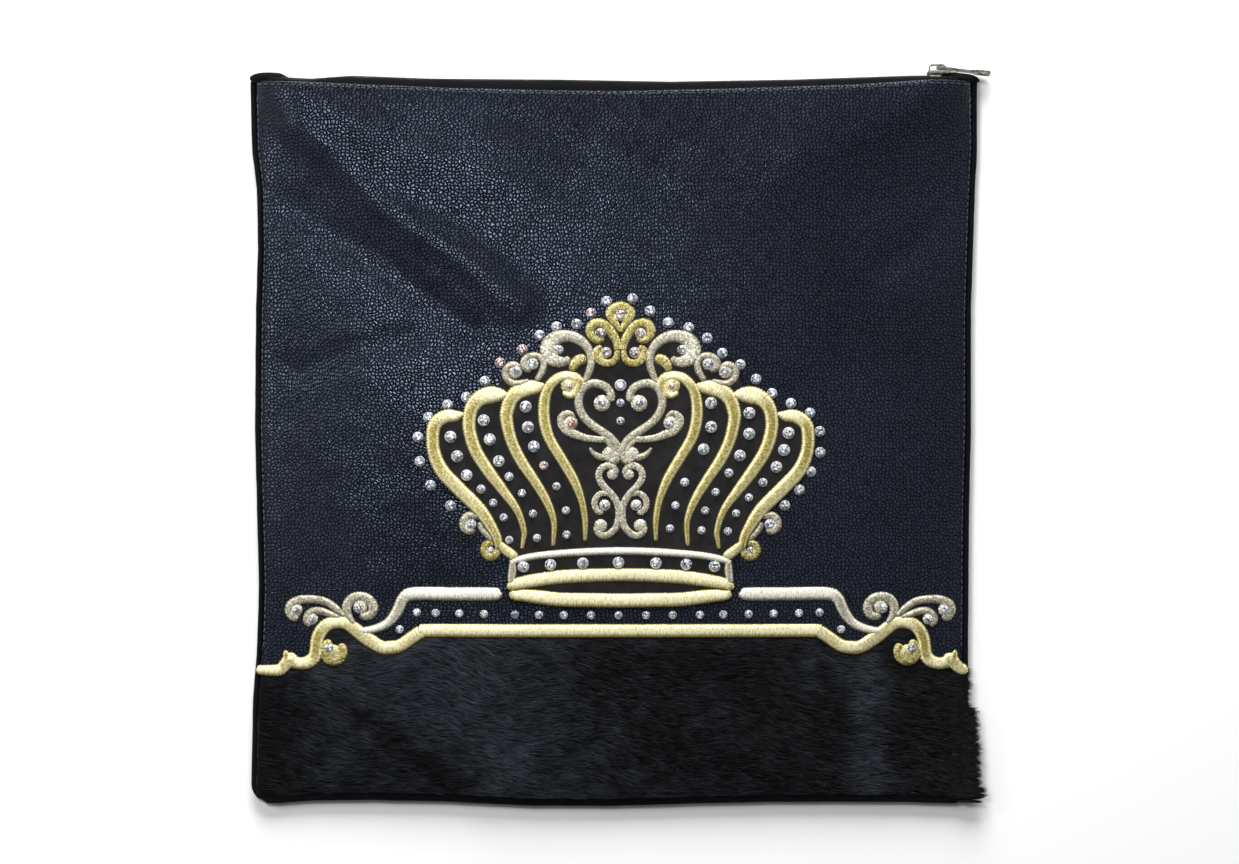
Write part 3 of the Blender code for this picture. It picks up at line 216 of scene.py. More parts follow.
CORNER_SMALL = [
    (140, -6.2, 1.6), (145, -4.4, 2.6), (149.5, -2.9, 3), (153.5, -2.9, 3), (156.4, -5, 2.8),
    (157, -8, 2.6), (154.6, -10, 2.4)]
BORDER_BUMP = [(166.5, -28, 4.5), (167.3, -24.5, 2.6), (167.6, -22.6, 0.8)]
# The curl below each corner as an arc: centre, radius, first and last angle, width
CORNER_CURL = (143.3, -23.0, 4.7, 80, -230, 4.2)

# Suede ground, right half of its outline
GROUND_OUTLINE = [
    (0, 151), (6, 147.5), (10, 142.5), (15, 141), (20, 135), (28, 136), (36, 134),
    (39.5, 127), (45, 124), (50, 121), (56, 118), (61, 109), (68, 106.5), (77, 98),
    (85, 97.5), (92, 93), (94.5, 81), (90.5, 69.5), (80, 57.5), (69.8, 47.4), (63, 38),
    (60.2, 28.6), (56.4, 22.4), (55.5, 6.5), (48, 2), (30, -0.2), (0, -1)]

# Stones: paths or places of those on each side
HALO = [(6, 152.8), (13.8, 147.3), (25.8, 139.8), (35.3, 138), (44, 132.5), (52, 124.5),
        (61, 119), (75.8, 105.4), (94.3, 96), (99.4, 86), (99.2, 75.5), (89.5, 58.3),
        (81.8, 50)]
HALO_COUNT = 16
HALO_LEFT = [
    (-6.9, 151.5), (-14.6, 145.6), (-21.9, 140.2), (-31.8, 138.8), (-40.2, 134.6),
    (-48.8, 127.5), (-59.9, 120.9), (-67.5, 111.8), (-76.8, 103.8), (-86.1, 100),
    (-95.6, 93.8), (-100.9, 84), (-99.9, 71.9), (-94.6, 60), (-84.6, 49.8)]
STONE_COLUMNS = [
    [(45, 100.9), (45.1, 89), (41.3, 77.9), (31.9, 61.5), (27.3, 50), (24.6, 38.5)],
    [(64.1, 95.9), (64, 85.6), (59.4, 74.8), (53.9, 66.1), (47.3, 56.6), (42.1, 47.4),
     (40.3, 37.6)],
    [(83.6, 86), (81.4, 77.5), (77.6, 69.1), (70.9, 61.4), (63.9, 53.9), (57.5, 46),
     (53.4, 37.1)],
    [(-47.1, 99.1), (-46, 88.9), (-43.1, 79.3), (-38.1, 69.8), (-31.8, 59.5), (-27.1, 47.5),
     (-26.8, 35.5)],
    [(-68, 92.3), (-65, 82.8), (-60.5, 72), (-55.4, 64.3), (-49, 56.1), (-43.5, 45.9),
     (-41.5, 33.8)],
    [(-84.6, 84.1), (-81.3, 74.4), (-76.5, 65), (-69.3, 58.1), (-63.3, 51.3), (-58.1, 44),
     (-55.3, 32.8)]]
BAND_STONES = (-48.3, -34.8, -18.7, -1, 17.6, 32.7, 46.8)
BAND_STONE_Y = 21.6
BAND_STONE_DROP = 0.0009

# Leather; tables of waves have rows of amount, seed and length
WAVE_COUNT = 7
WAVE_SPREAD = (0.7, 1.5)
RELIEF = 0.3
RELIEF_WAVES = ((0.6, 3, 62.0), (0.4, 5, 27.0))
BACK_RELIEF = 0.05
BACK_WAVE = (11, 46.0)  # seed, length
BACK_FLAT_TO = 0.06
SEAM_LAP = 0.6
TURNED_EDGE = 1.2
TURNED_ANGLES = (18, 180, 7)  # first, last, count
SEAM_STEPS = ((0.18, 0.25), (0.10, 0.7), (0.0, 1.6))  # outwards, down
PANEL_ROUNDS = 4
LEATHER_GRID = (230, 190)
BACK_GRID = (100, 100)
HIDE_GRID = (200, 70)
PIPING_STEPS = 60
PIPING_SIDES = 14
PIPING_TURN = (18, 36, 54, 72)
PIPING_TALLER = 1.1
PIPING_RUN_ON = 3.6
PIPING_END = ((0.5, 1.1), (1.8, 1.9))  # inwards, up
PIPING_WANDER = ((0.12, 8, 22.0),)
PIPING_SWELL = ((0.05, 9, 15.0),)
PEBBLES_PER_METRE = 550.0
PEBBLE_WOBBLE = 0.8
PEBBLE_DOME = 0.6
VALLEY_DEPTH = 0.15
GLEAM = (0.60, 0.74, 1.0)
LEATHERS = (  # name, colour, colour of the valleys in painted shade, size of the pebbles, roughness, shine
    ("front_leather", (0.0190, 0.0226, 0.0348), (0.0036, 0.0043, 0.0068), 1.0, 0.18, 0.34),
    ("back_leather", (0.008, 0.0095, 0.014), (0.003, 0.0035, 0.005), 0.9, 0.5, 0.3),
    ("edge_leather", (0.006, 0.0065, 0.008), (0.004, 0.004, 0.005), 0.5, 0.5, 0.1))

# Hair
FUR_FROM_SIDE = 3.8
FUR_FROM_BOTTOM = PANEL_INSET + 0.9
FUR_CORNER_REACH = 3.0
FUR_CORNER_Y = (-140, 40)  # where its reach begins, over how far
FUR_CORNER_X = (160, 10)
HAIR_OVERHANG_SHARE = 0.9
HANGING_BAND = 6.0
ROOT_BAND = 8.0
FUR_BOX_RIGHT = 184
FUR_BOX_BOTTOM = -186
SOWN_PER_HAIR = 3
HAIR_LOTS = ((22000, -185), (22000, -185), (22000, -185), (18000, 164))  # count, first x
HAIR_SEED = 40
HAIR_BELOW_SEAM = 0.3
HAIR_LEAN = -7.0
HAIR_TURNS = ((9, 31, 60.0), (8, 32, 7.0))
HAIR_STRAY = 5
HAIR_ROLL = 34
HAIR_LIFT = (0.55, 1.0)
HAIR_CURL = 6
HAIR_CURL_WAVE = (35, 13.0)  # seed, length
HAIR_CLEAR = 0.15
HAIR_DROOP = 0.22
HAIR_LENGTH = (4.0, 8.0)
HAIR_WIDTH = (0.14, 0.22)
HAIR_STATIONS = (  # share of the length, share of the rise, share of the width
    (0.0, 0.0, 1.0), (0.4, 0.62, 0.85), (0.75, 0.9, 0.5), (1.0, 1.0, 0.0))
LOCK_SPACING = 3.6
LOCK_BAND = 20.0
LOCK_FIRST = 80
LOCK_COUNT = 200
LOCK_REACH = (0.75, 1.2)
LOCK_SCATTER = 0.9
LOCK_WANDER = ((0.6, 36, 14.0),)
# Painted light on the hair: its colour in painted shade and in painted sheen
FUR_DARK = (0.002, 0.002, 0.0022)
FUR_SHEEN = (0.068, 0.077, 0.100)
ROOT_SHADE = 0.35
STRAND_SPREAD = 0.17
NAP_SHEEN = 0.15
NAP_SHEEN_PATCHES = ((0.09, 21, 45.0), (0.10, 22, 14.0))
NAP_SHEEN_STREAKS = [  # path, half width, how much paler the painted sheen is
    ([(-118, -122), (-60, -125), (-50, -176)], 34, 0.46),
    ([(-140, -131), (-95, -169)], 6, -0.28),
    ([(-20, -110), (90, -120), (100, -180)], 45, -0.14),
    ([(120, -112), (120, -176)], 9, 0.5),
    ([(160, -112), (172, -180)], 22, -0.40),
    ([(-184, -112), (-184, -180)], 11, -0.45),
    ([(102, -106), (114, -131)], 8, 0.20)]

# Stitching and ground
STITCH_STEP = 0.34
STITCH_SLANT = 0.18
BEAD_PITCH = 1.25
# Painted highlight on the outer side of satin strokes, and on the rims from RIM_FROM outwards
OUTER_HIGHLIGHT = 0.6
ACROSS_WIDE = (-1, -0.9, -0.74, -0.45, 0, 0.45, 0.74, 0.9, 1)
ACROSS_NARROW = (-1, -0.6, 0, 0.6, 1)
NARROW_STROKE = 3.1
RIM_FROM = 0.55
RIM_RAMP = 0.19
THREAD_RISE = 1.3
THREAD_PLUMP = 0.72
THREAD_LEAST = 0.35
SATIN_LIFT = 0.055
DOT_LIFT = 0.07
DOTS_PER_MM = 1.2
DOT_DEPTH = 0.3
LINE_DEPTH = 0.22
LAY_SHIFT = 3.7
BEADING = 0.05
RAGGEDNESS = 0.02
DOME_SHAPE = (4, 0.7)  # powers of the distance from the middle, and of the height
FAT_STROKE = (2.1, 1.0)  # half width where it begins, over how much
UNDER_BAND = (0.6, 0.4)
THREAD_METAL = 0.25
METALS = {  # painted shade colour in the dips, painted highlight colour on the rises
    "gold": ((0.24, 0.19, 0.02), (0.93, 0.865, 0.55)),
    "silver": ((0.25, 0.225, 0.145), (0.90, 0.875, 0.77))}
BUTTON_RISE = 1.2
BUTTON_SIDES = 26
BUTTON_RINGS = ((1.0, 0.0), (0.85, 0.55), (0.55, 0.88), (0.2, 1.0))  # reach, rise
# Painted light level of the knots
BUTTON_PAINTED_LIGHT = 0.75
BUTTON_RAGGED = 0.03
BUTTON_GRAIN = 0.04
# A dark rim round each stroke: partly the dark underlay at its edge, partly painted shadow
OUTLINE_WIDTH = 0.45
OUTLINE_LIFT = 0.2
OUTLINE_TONE = -0.4
# Painted shade on the lower side of level strokes, and a little on their upper side
UNDER_SHADE = 0.8
UPPER_SHADE = 0.2
OUTLINE_AND_SHADOW = (0.022, 0.017, 0.006)
ON_GROUND_TOP = GROUND_LIFT + GROUND_THICK - 0.15
ON_LEATHER_TOP = -0.15
ON_BORDER = -0.4
ON_HIDE = 0.2
STROKE_STEP = 0.08
LENS_SEED = 60
BAND_LINE_SEED = 63
BORDER_SEED = 70
SMALL_SEED = 90
BORDER_END_Y = -117
BORDER_END_INSET = 0.5
BORDER_ENDS = ((-32.5, 4), (-34.0, 3.4))  # y and width at the left and the right
GROUND_STEP = 2.0
GOLD_EXTRAS = [(RIB_FOOT, ON_GROUND_TOP, False), (CRESCENT, ON_GROUND_TOP, True),
               (BORDER_BUMP, ON_BORDER, False)]
SILVER_EXTRAS = [(BAND_UPRIGHT, ON_GROUND_TOP, False), (LEAF_HOOK, ON_GROUND_TOP, True),
                 (SIDE_LEAF, ON_LEATHER_TOP, True)]
GOLD_KNOTS = [  # x, y, radius, what carries it
    (143.3, -24.2, 4.6, ON_HIDE + 0.2), (25.4, 109.6, 4.4, ON_GROUND_TOP)]
SILVER_KNOTS = [(*row, base) for base, rows in (
    (ON_GROUND_TOP, [(9.2, 100.8, 4.2), (5.2, 75.5, 4), (4, 65.5, 2.8), (9.8, 40, 3.3),
                     (7.8, 50.1, 2.9), (43.8, 120.4, 3.2), (52.2, 116.4, 3.4), (24.8, 91, 3.6)]),
    (ON_LEATHER_TOP, [(162.2, -2.3, 3.4), (154, -6.8, 3), (129.8, -0.6, 3.6)])) for row in rows]

# Stones: sizes, facets with their painted reflections, colours, and places of the small ones
LARGE_STONE = 2.6
BAND_STONE = 2.85
SMALL_STONE = 2.0
STONE_RISE = 0.62
STONE_RINGS = (  # reach, rise, turn, corners
    (0.55, 1.0, 0.0, STONE_SIDES), (0.8, 0.66, 0.5, STONE_SIDES),
    (1.0, 0.16, 0.0, 2 * STONE_SIDES), (1.0, -0.3, 0.0, 2 * STONE_SIDES))
# Painted reflections: each facet's colour is scaled by a value from these ranges; the walls below
# the girdle get painted shade
BRIGHT_SHARE = 0.45
TABLE_BRIGHT = (0.85, 1.2)
TABLE_DARK = (0.06, 0.42)
STAR_SHADE = (0.1, 0.85)
KITE_SHADE = (0.05, 0.8)
OUTER_SHADE = (0.95, 1.2)
WALL_SHADE = 0.12
ON_LEATHER_STONE = 0.0
ON_GROUND_STONE = GROUND_LIFT + GROUND_THICK
ON_KNOT = ON_GROUND_STONE + 0.8
COLUMN_RADII = (2.95, 2.95, 2.85, 2.2, 2.0, 2.0, 2.0)
AXIS_STONES = [(109.8, 2.9), (101, 2.0), (92, 2.0), (144.5, 2.7)]
BORDER_STONES = (-101.5, -92.1, -80.3, -68, -52.5, -40.5, -28.2, -14.7, -1, 12.7, 26, 39.5,
                 51.2, 63.8, 76.3, 89, 99.3)
BORDER_STONE_Y = -4.7
BORDER_STONE_CLIMB = 0.00012
SCROLL_STONES = [  # x, y, radius, what carries it
    (10, 135.5, 2.7, ON_GROUND_STONE), (7.2, 126, 2.7, ON_GROUND_STONE),
    (30.6, 127.4, 2.3, ON_GROUND_STONE), (44, 120.3, 2.5, ON_KNOT), (51.8, 117, 2.1, ON_KNOT),
    (25.4, 109.6, 1.8, ON_KNOT), (9.4, 101, 2.0, ON_KNOT), (24.4, 90.8, 2.3, ON_KNOT),
    (7.9, 50, 1.9, ON_KNOT), (74.3, 40.6, 2.6, ON_LEATHER_STONE),
    (64.8, 27.8, 1.8, ON_LEATHER_STONE), (162, -2.4, 2.2, 0.8), (154.1, -7.0, 2.0, 0.8),
    (131, -1.4, 2.2, 0.8), (145.4, -21.4, 2.3, ON_HIDE + 1.0),
    (110.1, -11.9, 2.0, ON_LEATHER_STONE)]
STONE_COLOUR = (0.90, 0.93, 1.0)
PINK = (0.98, 0.74, 0.79)
PALE_BLUE = (0.78, 0.86, 1.0)
CHAMPAGNE = (0.97, 0.85, 0.80)
TINT_REACH = 4.0
STONE_SEED = 12
STONE_TINTS = [  # x, y, colour
    (-14.6, 145.6, PINK), (-48.8, 127.5, PINK), (-59.9, 120.9, PINK), (-38.1, 69.8, PINK),
    (-52.5, -4.1, (0.60, 0.74, 1.0)), (94.3, 96, PALE_BLUE), (52, 124.5, PALE_BLUE),
    (0, 144.5, CHAMPAGNE), (10, 135.5, CHAMPAGNE), (7.2, 126, CHAMPAGNE),
    (-10, 135.5, CHAMPAGNE), (-7.2, 126, CHAMPAGNE), (25.4, 109.6, CHAMPAGNE),
    (-25.4, 109.6, CHAMPAGNE), (-24.4, 90.8, (0.93, 0.62, 0.56))]

# Zip and topstitching
TAPE_STEPS = 170
TAPE_RUN_ON = 3.0
TAPE_THICK = 0.5
TAPE_LIP = 0.25
TAPE_LIP_GAP = 0.2
TAPE_LEVEL = 3.0
TAPE_WAVE = 0.18
TAPE_WAVE_LENGTH = 24.0
TAPE_SEED = 15
TAPE_TURN = (0, 15, 30, 45, 60, 75, 90)
END_SIDES = 16
END_WAVES = ((0.25, 18, 6.0),)
COIL_PITCH = 1.3
COIL_RADIUS = 0.34
COIL_SIDES = 6
COIL_TURN = (  # along, outwards from the bag, up
    (0.0, -0.4, 2.7), (0.0, 0.55, 2.2), (0.05, 0.75, 0.9), (0.1, 0.55, -0.2))
STITCHES_ALONG_TOP = (-180.5, 175.5, 3.5)  # first, past the last, pitch
STITCHES_ALONG_SIDE = (-104, 172, 3.5)
TOP_STITCH_LIFT = 0.28
SIDE_STITCH_LIFT = 0.22
STITCH_LENGTH = 2.6
STITCH_HALF = 0.36
STITCH_STATIONS = (  # share of the length, share of the width
    (-0.5, 0.25), (-0.38, 0.85), (0.0, 1.0), (0.38, 0.85), (0.5, 0.25))
STITCH_BELOW_EDGE = 1.7
STITCH_INSIDE_EDGE = 0.5
LEFT_TAPE_END = [  # x, top y, half height, z, half width
    (-185.2, 179.3, 0.6, 7.0, 0.8), (-183.8, 181.4, 2.0, 7.3, 2.2), (-179, 182.6, 2.6, 7.6, 2.6),
    (-172, 182.5, 2.5, 7.6, 2.6), (-168.5, 181.4, 1.9, 7.5, 2.2), (-166, 180, 0.8, 7.5, 1.0)]
RIGHT_TAPE_END = [
    (160.5, 180.5, 0.8, 7.5, 1.2), (162.5, 182.0, 1.6, 7.5, 1.8), (166.5, 182.8, 2.4, 7.4, 2.4),
    (170, 182.4, 2.4, 7.4, 2.6), (175, 181.8, 2.2, 7.2, 2.6), (178, 180.7, 1.5, 7.0, 2.0),
    (180, 178.6, 0.5, 6.8, 0.8)]

# Room
PHOTO_WIDTH_PX = 1239
MM_PER_PX = 0.5
CAMERA_OVER = (-0.25, 2.5)
CAMERA_HEIGHT = 2.4
CAMERA_SENSOR = 36.0
CAMERA_REACH = 50.0
SHARP_HEIGHT = 0.012
ROOM_LIGHT = 0.14
FLOOR = 6.0
FLOOR_DROP = 0.0002
LIGHTS = (  # name, place, size, power
    ("key_light", (-0.28, 0.20, 1.2), (0.14, 0.34), 5.6),
    ("left_light", (-0.62, 0.12, 0.55), (0.16, 0.16), 1.2),
    ("top_light", (0.0, 1.7, 0.95), (1.2, 1.4), 69.0))


# Curves through table rows

def smooth(rows):
    """Many points on the smooth curve through the rows, with the run up to each."""
    rows = np.array(rows, float)
    ends = np.vstack([2 * rows[0] - rows[1], rows, 2 * rows[-1] - rows[-2]])
    fine = []
    for before, start, stop, after in zip(ends, ends[1:], ends[2:], ends[3:]):
        for t in np.linspace(0, 1, CURVE_STEPS, endpoint=False):
            fine.append(0.5 * (2 * start + (stop - before) * t
                               + (2 * before - 5 * start + 4 * stop - after) * t ** 2
                               + (3 * start - before - 3 * stop + after) * t ** 3))
    fine = np.array(fine + [rows[-1]])
    run = np.concatenate([[0], np.cumsum(np.linalg.norm(np.diff(fine[:, :2], axis=0), axis=1))])
    return fine, run


def evenly(rows, count):
    """Points evenly spaced on the smooth curve through the rows."""
    fine, run = smooth(rows)
    stations = np.linspace(0, run[-1], count)
    return np.column_stack([np.interp(stations, run, column) for column in fine.T])


def arc(centre_x, centre_y, radius, first, last, width):
    """Rows along an arc of constant width."""
    count = max(4, int(abs(last - first) / STATION_TURN) + 1)
    angles = np.radians(np.linspace(first, last, count))
    return [(centre_x + radius * math.cos(a), centre_y + radius * math.sin(a), width)
            for a in angles]


def side(table):
    """A function that reads an outline table."""
    places, values = np.array(table, float).T
    return lambda where: np.interp(where, places, values)


left_side = side(LEFT_SIDE)
right_side = side(RIGHT_SIDE)
bottom_side = side(BOTTOM_SIDE)
leather_top = side(LEATHER_TOP)
zip_ridge = side(ZIP_RIDGE)
border_right = side([row[:2] for row in BORDER])


def whole_width(rows):
    """Rows of a right half with its mirrored left half before them."""
    left = [(-row[0], *row[1:]) for row in reversed(rows[1:])]
    return left + list(rows)


BORDER_PATH = [(CROWN_AXIS_X + x, CROWN_BASE_Y + y) for x, y, _ in
               [(-190, -33, 4), *whole_width(BORDER), (190, -33, 4)]]


def seam(x):
    """Where the leather meets the fur, under the border."""
    return CROWN_BASE_Y + border_right(np.abs(np.asarray(x, float) - CROWN_AXIS_X))


def bulge(distance, reach):
    """Rise of a filled panel from 0 at its seam to 1 at its reach."""
    rest = np.clip(1 - distance / reach, 0, 1)
    return 0.5 * (1 - rest ** 2) + 0.5 * np.sqrt(1 - rest ** 2)


def distance_to_path(x, y, path):
    """Distance from a point to the nearest part of a path of straight runs."""
    nearest = np.full(np.shape(x), 1e9)
    for (ax, ay), (bx, by) in zip(path, path[1:]):
        run_x, run_y = bx - ax, by - ay
        share = ((x - ax) * run_x + (y - ay) * run_y) / (run_x ** 2 + run_y ** 2)
        share = np.clip(share, 0, 1)
        nearest = np.minimum(nearest, np.hypot(x - ax - share * run_x, y - ay - share * run_y))
    return nearest


def front_height(x, y):
    """Height of the front panels' outer face."""
    x = np.asarray(x, float)
    y = np.asarray(y, float)
    from_left = np.maximum(x - left_side(y) - PANEL_INSET, 0)
    from_right = np.maximum(right_side(y) - PANEL_INSET - x, 0)
    from_bottom = np.maximum(y - bottom_side(x) - PANEL_INSET, 0)
    from_top = np.maximum(leather_top(x) - y, 0)
    near_zip = np.clip(1 - from_top / ZIP_EDGE_BAND, 0, 1)
    near_zip = near_zip ** 2 * (3 - 2 * near_zip)
    reach = BULGE_REACH + (BULGE_REACH_AT_ZIP - BULGE_REACH) * near_zip
    lift = bulge(from_left, reach) * bulge(from_right, reach) * bulge(from_bottom, BULGE_REACH)
    lift = lift * (ZIP_EDGE_SHARE + (1 - ZIP_EDGE_SHARE) * bulge(from_top, BULGE_REACH))
    height = SIDE_SEAM_TOP + (BAG_DEPTH - SIDE_SEAM_TOP) * lift
    edge = np.minimum(np.minimum(from_left, from_right), np.minimum(from_bottom, from_top))
    fade = np.clip(edge / FOLD_FADE, 0, 1)
    for path, half_width, depth in FOLDS:
        height = height + fade * depth * np.exp(-(distance_to_path(x, y, path) / half_width) ** 2)
    return height


def back_height(x, y):
    """Height of the back's outer face: flat, and turned up at three seams, less by the zip."""
    from_left = x - left_side(y) - PANEL_INSET
    from_right = right_side(y) - PANEL_INSET - x
    from_bottom = y - bottom_side(x) - PANEL_INSET
    edge = np.minimum(np.minimum(from_left, from_right), from_bottom)
    rest = np.clip(1 - edge / BACK_CURL_WIDTH, 0, 1)
    below_zip = np.clip((leather_top(x) - y - ZIP_FLAT_BAND) / ZIP_FLAT_BAND, 0, 1)
    return BACK_SEAM_LIFT * below_zip * (1 - np.sqrt(1 - 0.98 * rest ** 2))


def pile(x, y):
    """How far the hair stands above the front's height: low beside the border and the curls."""
    below = np.clip((distance_to_path(x, y, BORDER_PATH) - PILE_CLEAR) / PILE_RAMP, 0, 1)
    height = PILE_HEIGHT * below * below * (3 - 2 * below)
    for mirror in (-1, 1):
        curl_x = CROWN_AXIS_X + mirror * CORNER_CURL[0]
        curl_y = CROWN_BASE_Y + CORNER_CURL[1]
        far = np.hypot(x - curl_x, y - curl_y) / CURL_CLEARING
        height = height * (1 - np.exp(-far ** 4))
    return height


def crowd(share):
    """Grid lines in -1..1, drawn closer together towards both ends."""
    return (1 - EDGE_CROWDING) * share + EDGE_CROWDING * np.sin(0.5 * math.pi * share)


def fur_overhang(y):
    """How far the fur reaches past the leather's side line: out over the edge where it is deep."""
    below = float(seam(FUR_EDGE_X)) - PILE_CLEAR - OVERHANG_DELAY * PILE_RAMP - y
    return (PANEL_INSET + FUR_OVERHANG) * min(max(below / PILE_RAMP, 0.0), 1.0)


# Helpers

def waves(x, y, seed, length):
    """Smooth noise of about unit size, made of crossed waves of about one length."""
    generator = np.random.default_rng(seed)
    total = np.zeros(np.shape(x))
    for _ in range(WAVE_COUNT):
        angle = generator.uniform(0, 2 * math.pi)
        turn = 2 * math.pi / (length * generator.uniform(*WAVE_SPREAD))
        phase = generator.uniform(0, 2 * math.pi)
        total = total + np.sin(turn * (x * math.cos(angle) + y * math.sin(angle)) + phase)
    return total / math.sqrt(WAVE_COUNT)


def mixed_waves(x, y, table, start=0.0):
    """A value with waves of several lengths added, from rows of amount, seed and length."""
    return sum((amount * waves(x, y, seed, length) for amount, seed, length in table), start)


def add_object(name, data):
    """An object in the scene."""
    obj = bpy.data.objects.new(name, data)
    bpy.context.scene.collection.objects.link(obj)
    return obj


def build(name, points, faces, finish, smooth_shading=True):
    """Make a piece from points in millimetres, and set it on the bag."""
    mesh = bpy.data.meshes.new(name)
    mesh.from_pydata((np.asarray(points, float) * MM).tolist(), [], list(faces))
    mesh.materials.append(finish)
    if smooth_shading:
        mesh.shade_smooth()
    obj = add_object(name, mesh)
    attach(obj, "bag")
    return obj


def stands_for(obj, slot, *nodes):
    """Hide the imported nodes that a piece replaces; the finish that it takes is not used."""
    if nodes:
        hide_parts(*nodes)


def point_values(obj, name, values):
    """Give each point of a mesh a number that its material reads."""
    attribute = obj.data.attributes.new(name, "FLOAT", "POINT")
    attribute.data.foreach_set("value", np.asarray(values, np.float32))


def quads(rows, columns, ring=False, flip=False):
    """Faces of a grid of points, row after row, closed round each row for a ring."""
    wide = columns if ring else columns - 1
    row, column = np.meshgrid(np.arange(rows - 1), np.arange(wide), indexing="ij")
    after = (column + 1) % columns
    faces = np.stack([row * columns + column, row * columns + after,
                      (row + 1) * columns + after, (row + 1) * columns + column],
                     axis=-1).reshape(-1, 4)
    return (faces[:, ::-1] if flip else faces).tolist()


def edge_fade(x, y):
    """0 at the seams and 1 inside them."""
    edge = np.minimum(np.minimum(x - left_side(y), right_side(y) - x),
                      np.minimum(y - bottom_side(x), leather_top(x) - y))
    return np.clip((edge - PANEL_INSET) / FOLD_FADE, 0, 1)


def relief(x, y):
    """Height of the front with the soft unevenness of filled leather."""
    return front_height(x, y) + RELIEF * edge_fade(x, y) * mixed_waves(x, y, RELIEF_WAVES)


def panel_points(columns, rows, low, high, overhang=None):
    """Points across and up a panel between its outline curves."""
    across = 0.5 + 0.5 * crowd(np.linspace(-1, 1, columns))
    along = 0.5 + 0.5 * crowd(np.linspace(-1, 1, rows))
    share_x, share_y = np.meshgrid(across, along)
    x = np.zeros_like(share_x)
    y = np.zeros_like(share_x)
    for _ in range(PANEL_ROUNDS):
        left = left_side(y) + PANEL_INSET
        right = right_side(y) - PANEL_INSET
        if overhang:
            right = right + overhang(y)
        x = left + share_x * (right - left)
        y = low(x) + share_y * (high(x) - low(x))
    return x, y


def with_border(x, y, z, steps, sides):
    """Add rows and columns of points past chosen sides of a grid: offsets outwards and down."""
    for side_name in sides:
        upright = side_name in ("top", "bottom")
        ahead = side_name in ("top", "right")
        for out, down in steps:
            out = out if ahead else -out
            grids = []
            for grid, shift in zip((x, y, z), (0, out, -down) if upright else (out, 0, -down)):
                grid = grid if upright else grid.T
                grid = np.vstack([grid, grid[-1] + shift] if ahead else [grid[0] + shift, grid])
                grids.append(grid if upright else grid.T)
            x, y, z = grids
    return x, y, z


def grid_piece(name, x, y, z, finish):
    """A piece from a grid of points."""
    points = np.stack([x, y, z], axis=-1).reshape(-1, 3)
    return build(name, points, quads(*x.shape), finish)


def unit_steps(path):
    """Directions of length 1 along a path of points."""
    steps = np.gradient(path, axis=0)
    return steps / np.linalg.norm(steps, axis=1)[:, None]


def rings_round(path, first, second, sides):
    """Rings of points round a path, between two vectors at each of its points, and their faces."""
    turn = np.linspace(0, 2 * math.pi, sides, endpoint=False)[None, :, None]
    points = path[:, None, :] + first[:, None, :] * np.cos(turn) + second[:, None, :] * np.sin(turn)
    return points.reshape(-1, 3), quads(len(path), sides, ring=True)


def tube(path, radius_y, radius_z, sides):
    """A tube round a level path, squashed to an ellipse."""
    ahead = unit_steps(path[:, :2])
    out = np.column_stack([-ahead[:, 1], ahead[:, 0], np.zeros(len(path))])
    up = np.outer(radius_z, (0.0, 0.0, 1.0))
    return rings_round(path, out * np.asarray(radius_y)[:, None], up, sides)


def rod(path, radius, sides):
    """A round rod along a path in the YZ plane."""
    aside = np.tile([1.0, 0.0, 0.0], (len(path), 1))
    other = np.cross(unit_steps(path), aside)
    return rings_round(path, radius * aside, radius * other, sides)


def joined(shapes):
    """Several lists of points and faces as one."""
    points, faces, start = [], [], 0
    for shape_points, shape_faces in shapes:
        points.append(shape_points)
        faces += [[start + i for i in face] for face in shape_faces]
        start += len(shape_points)
    return np.vstack(points), faces


# Materials

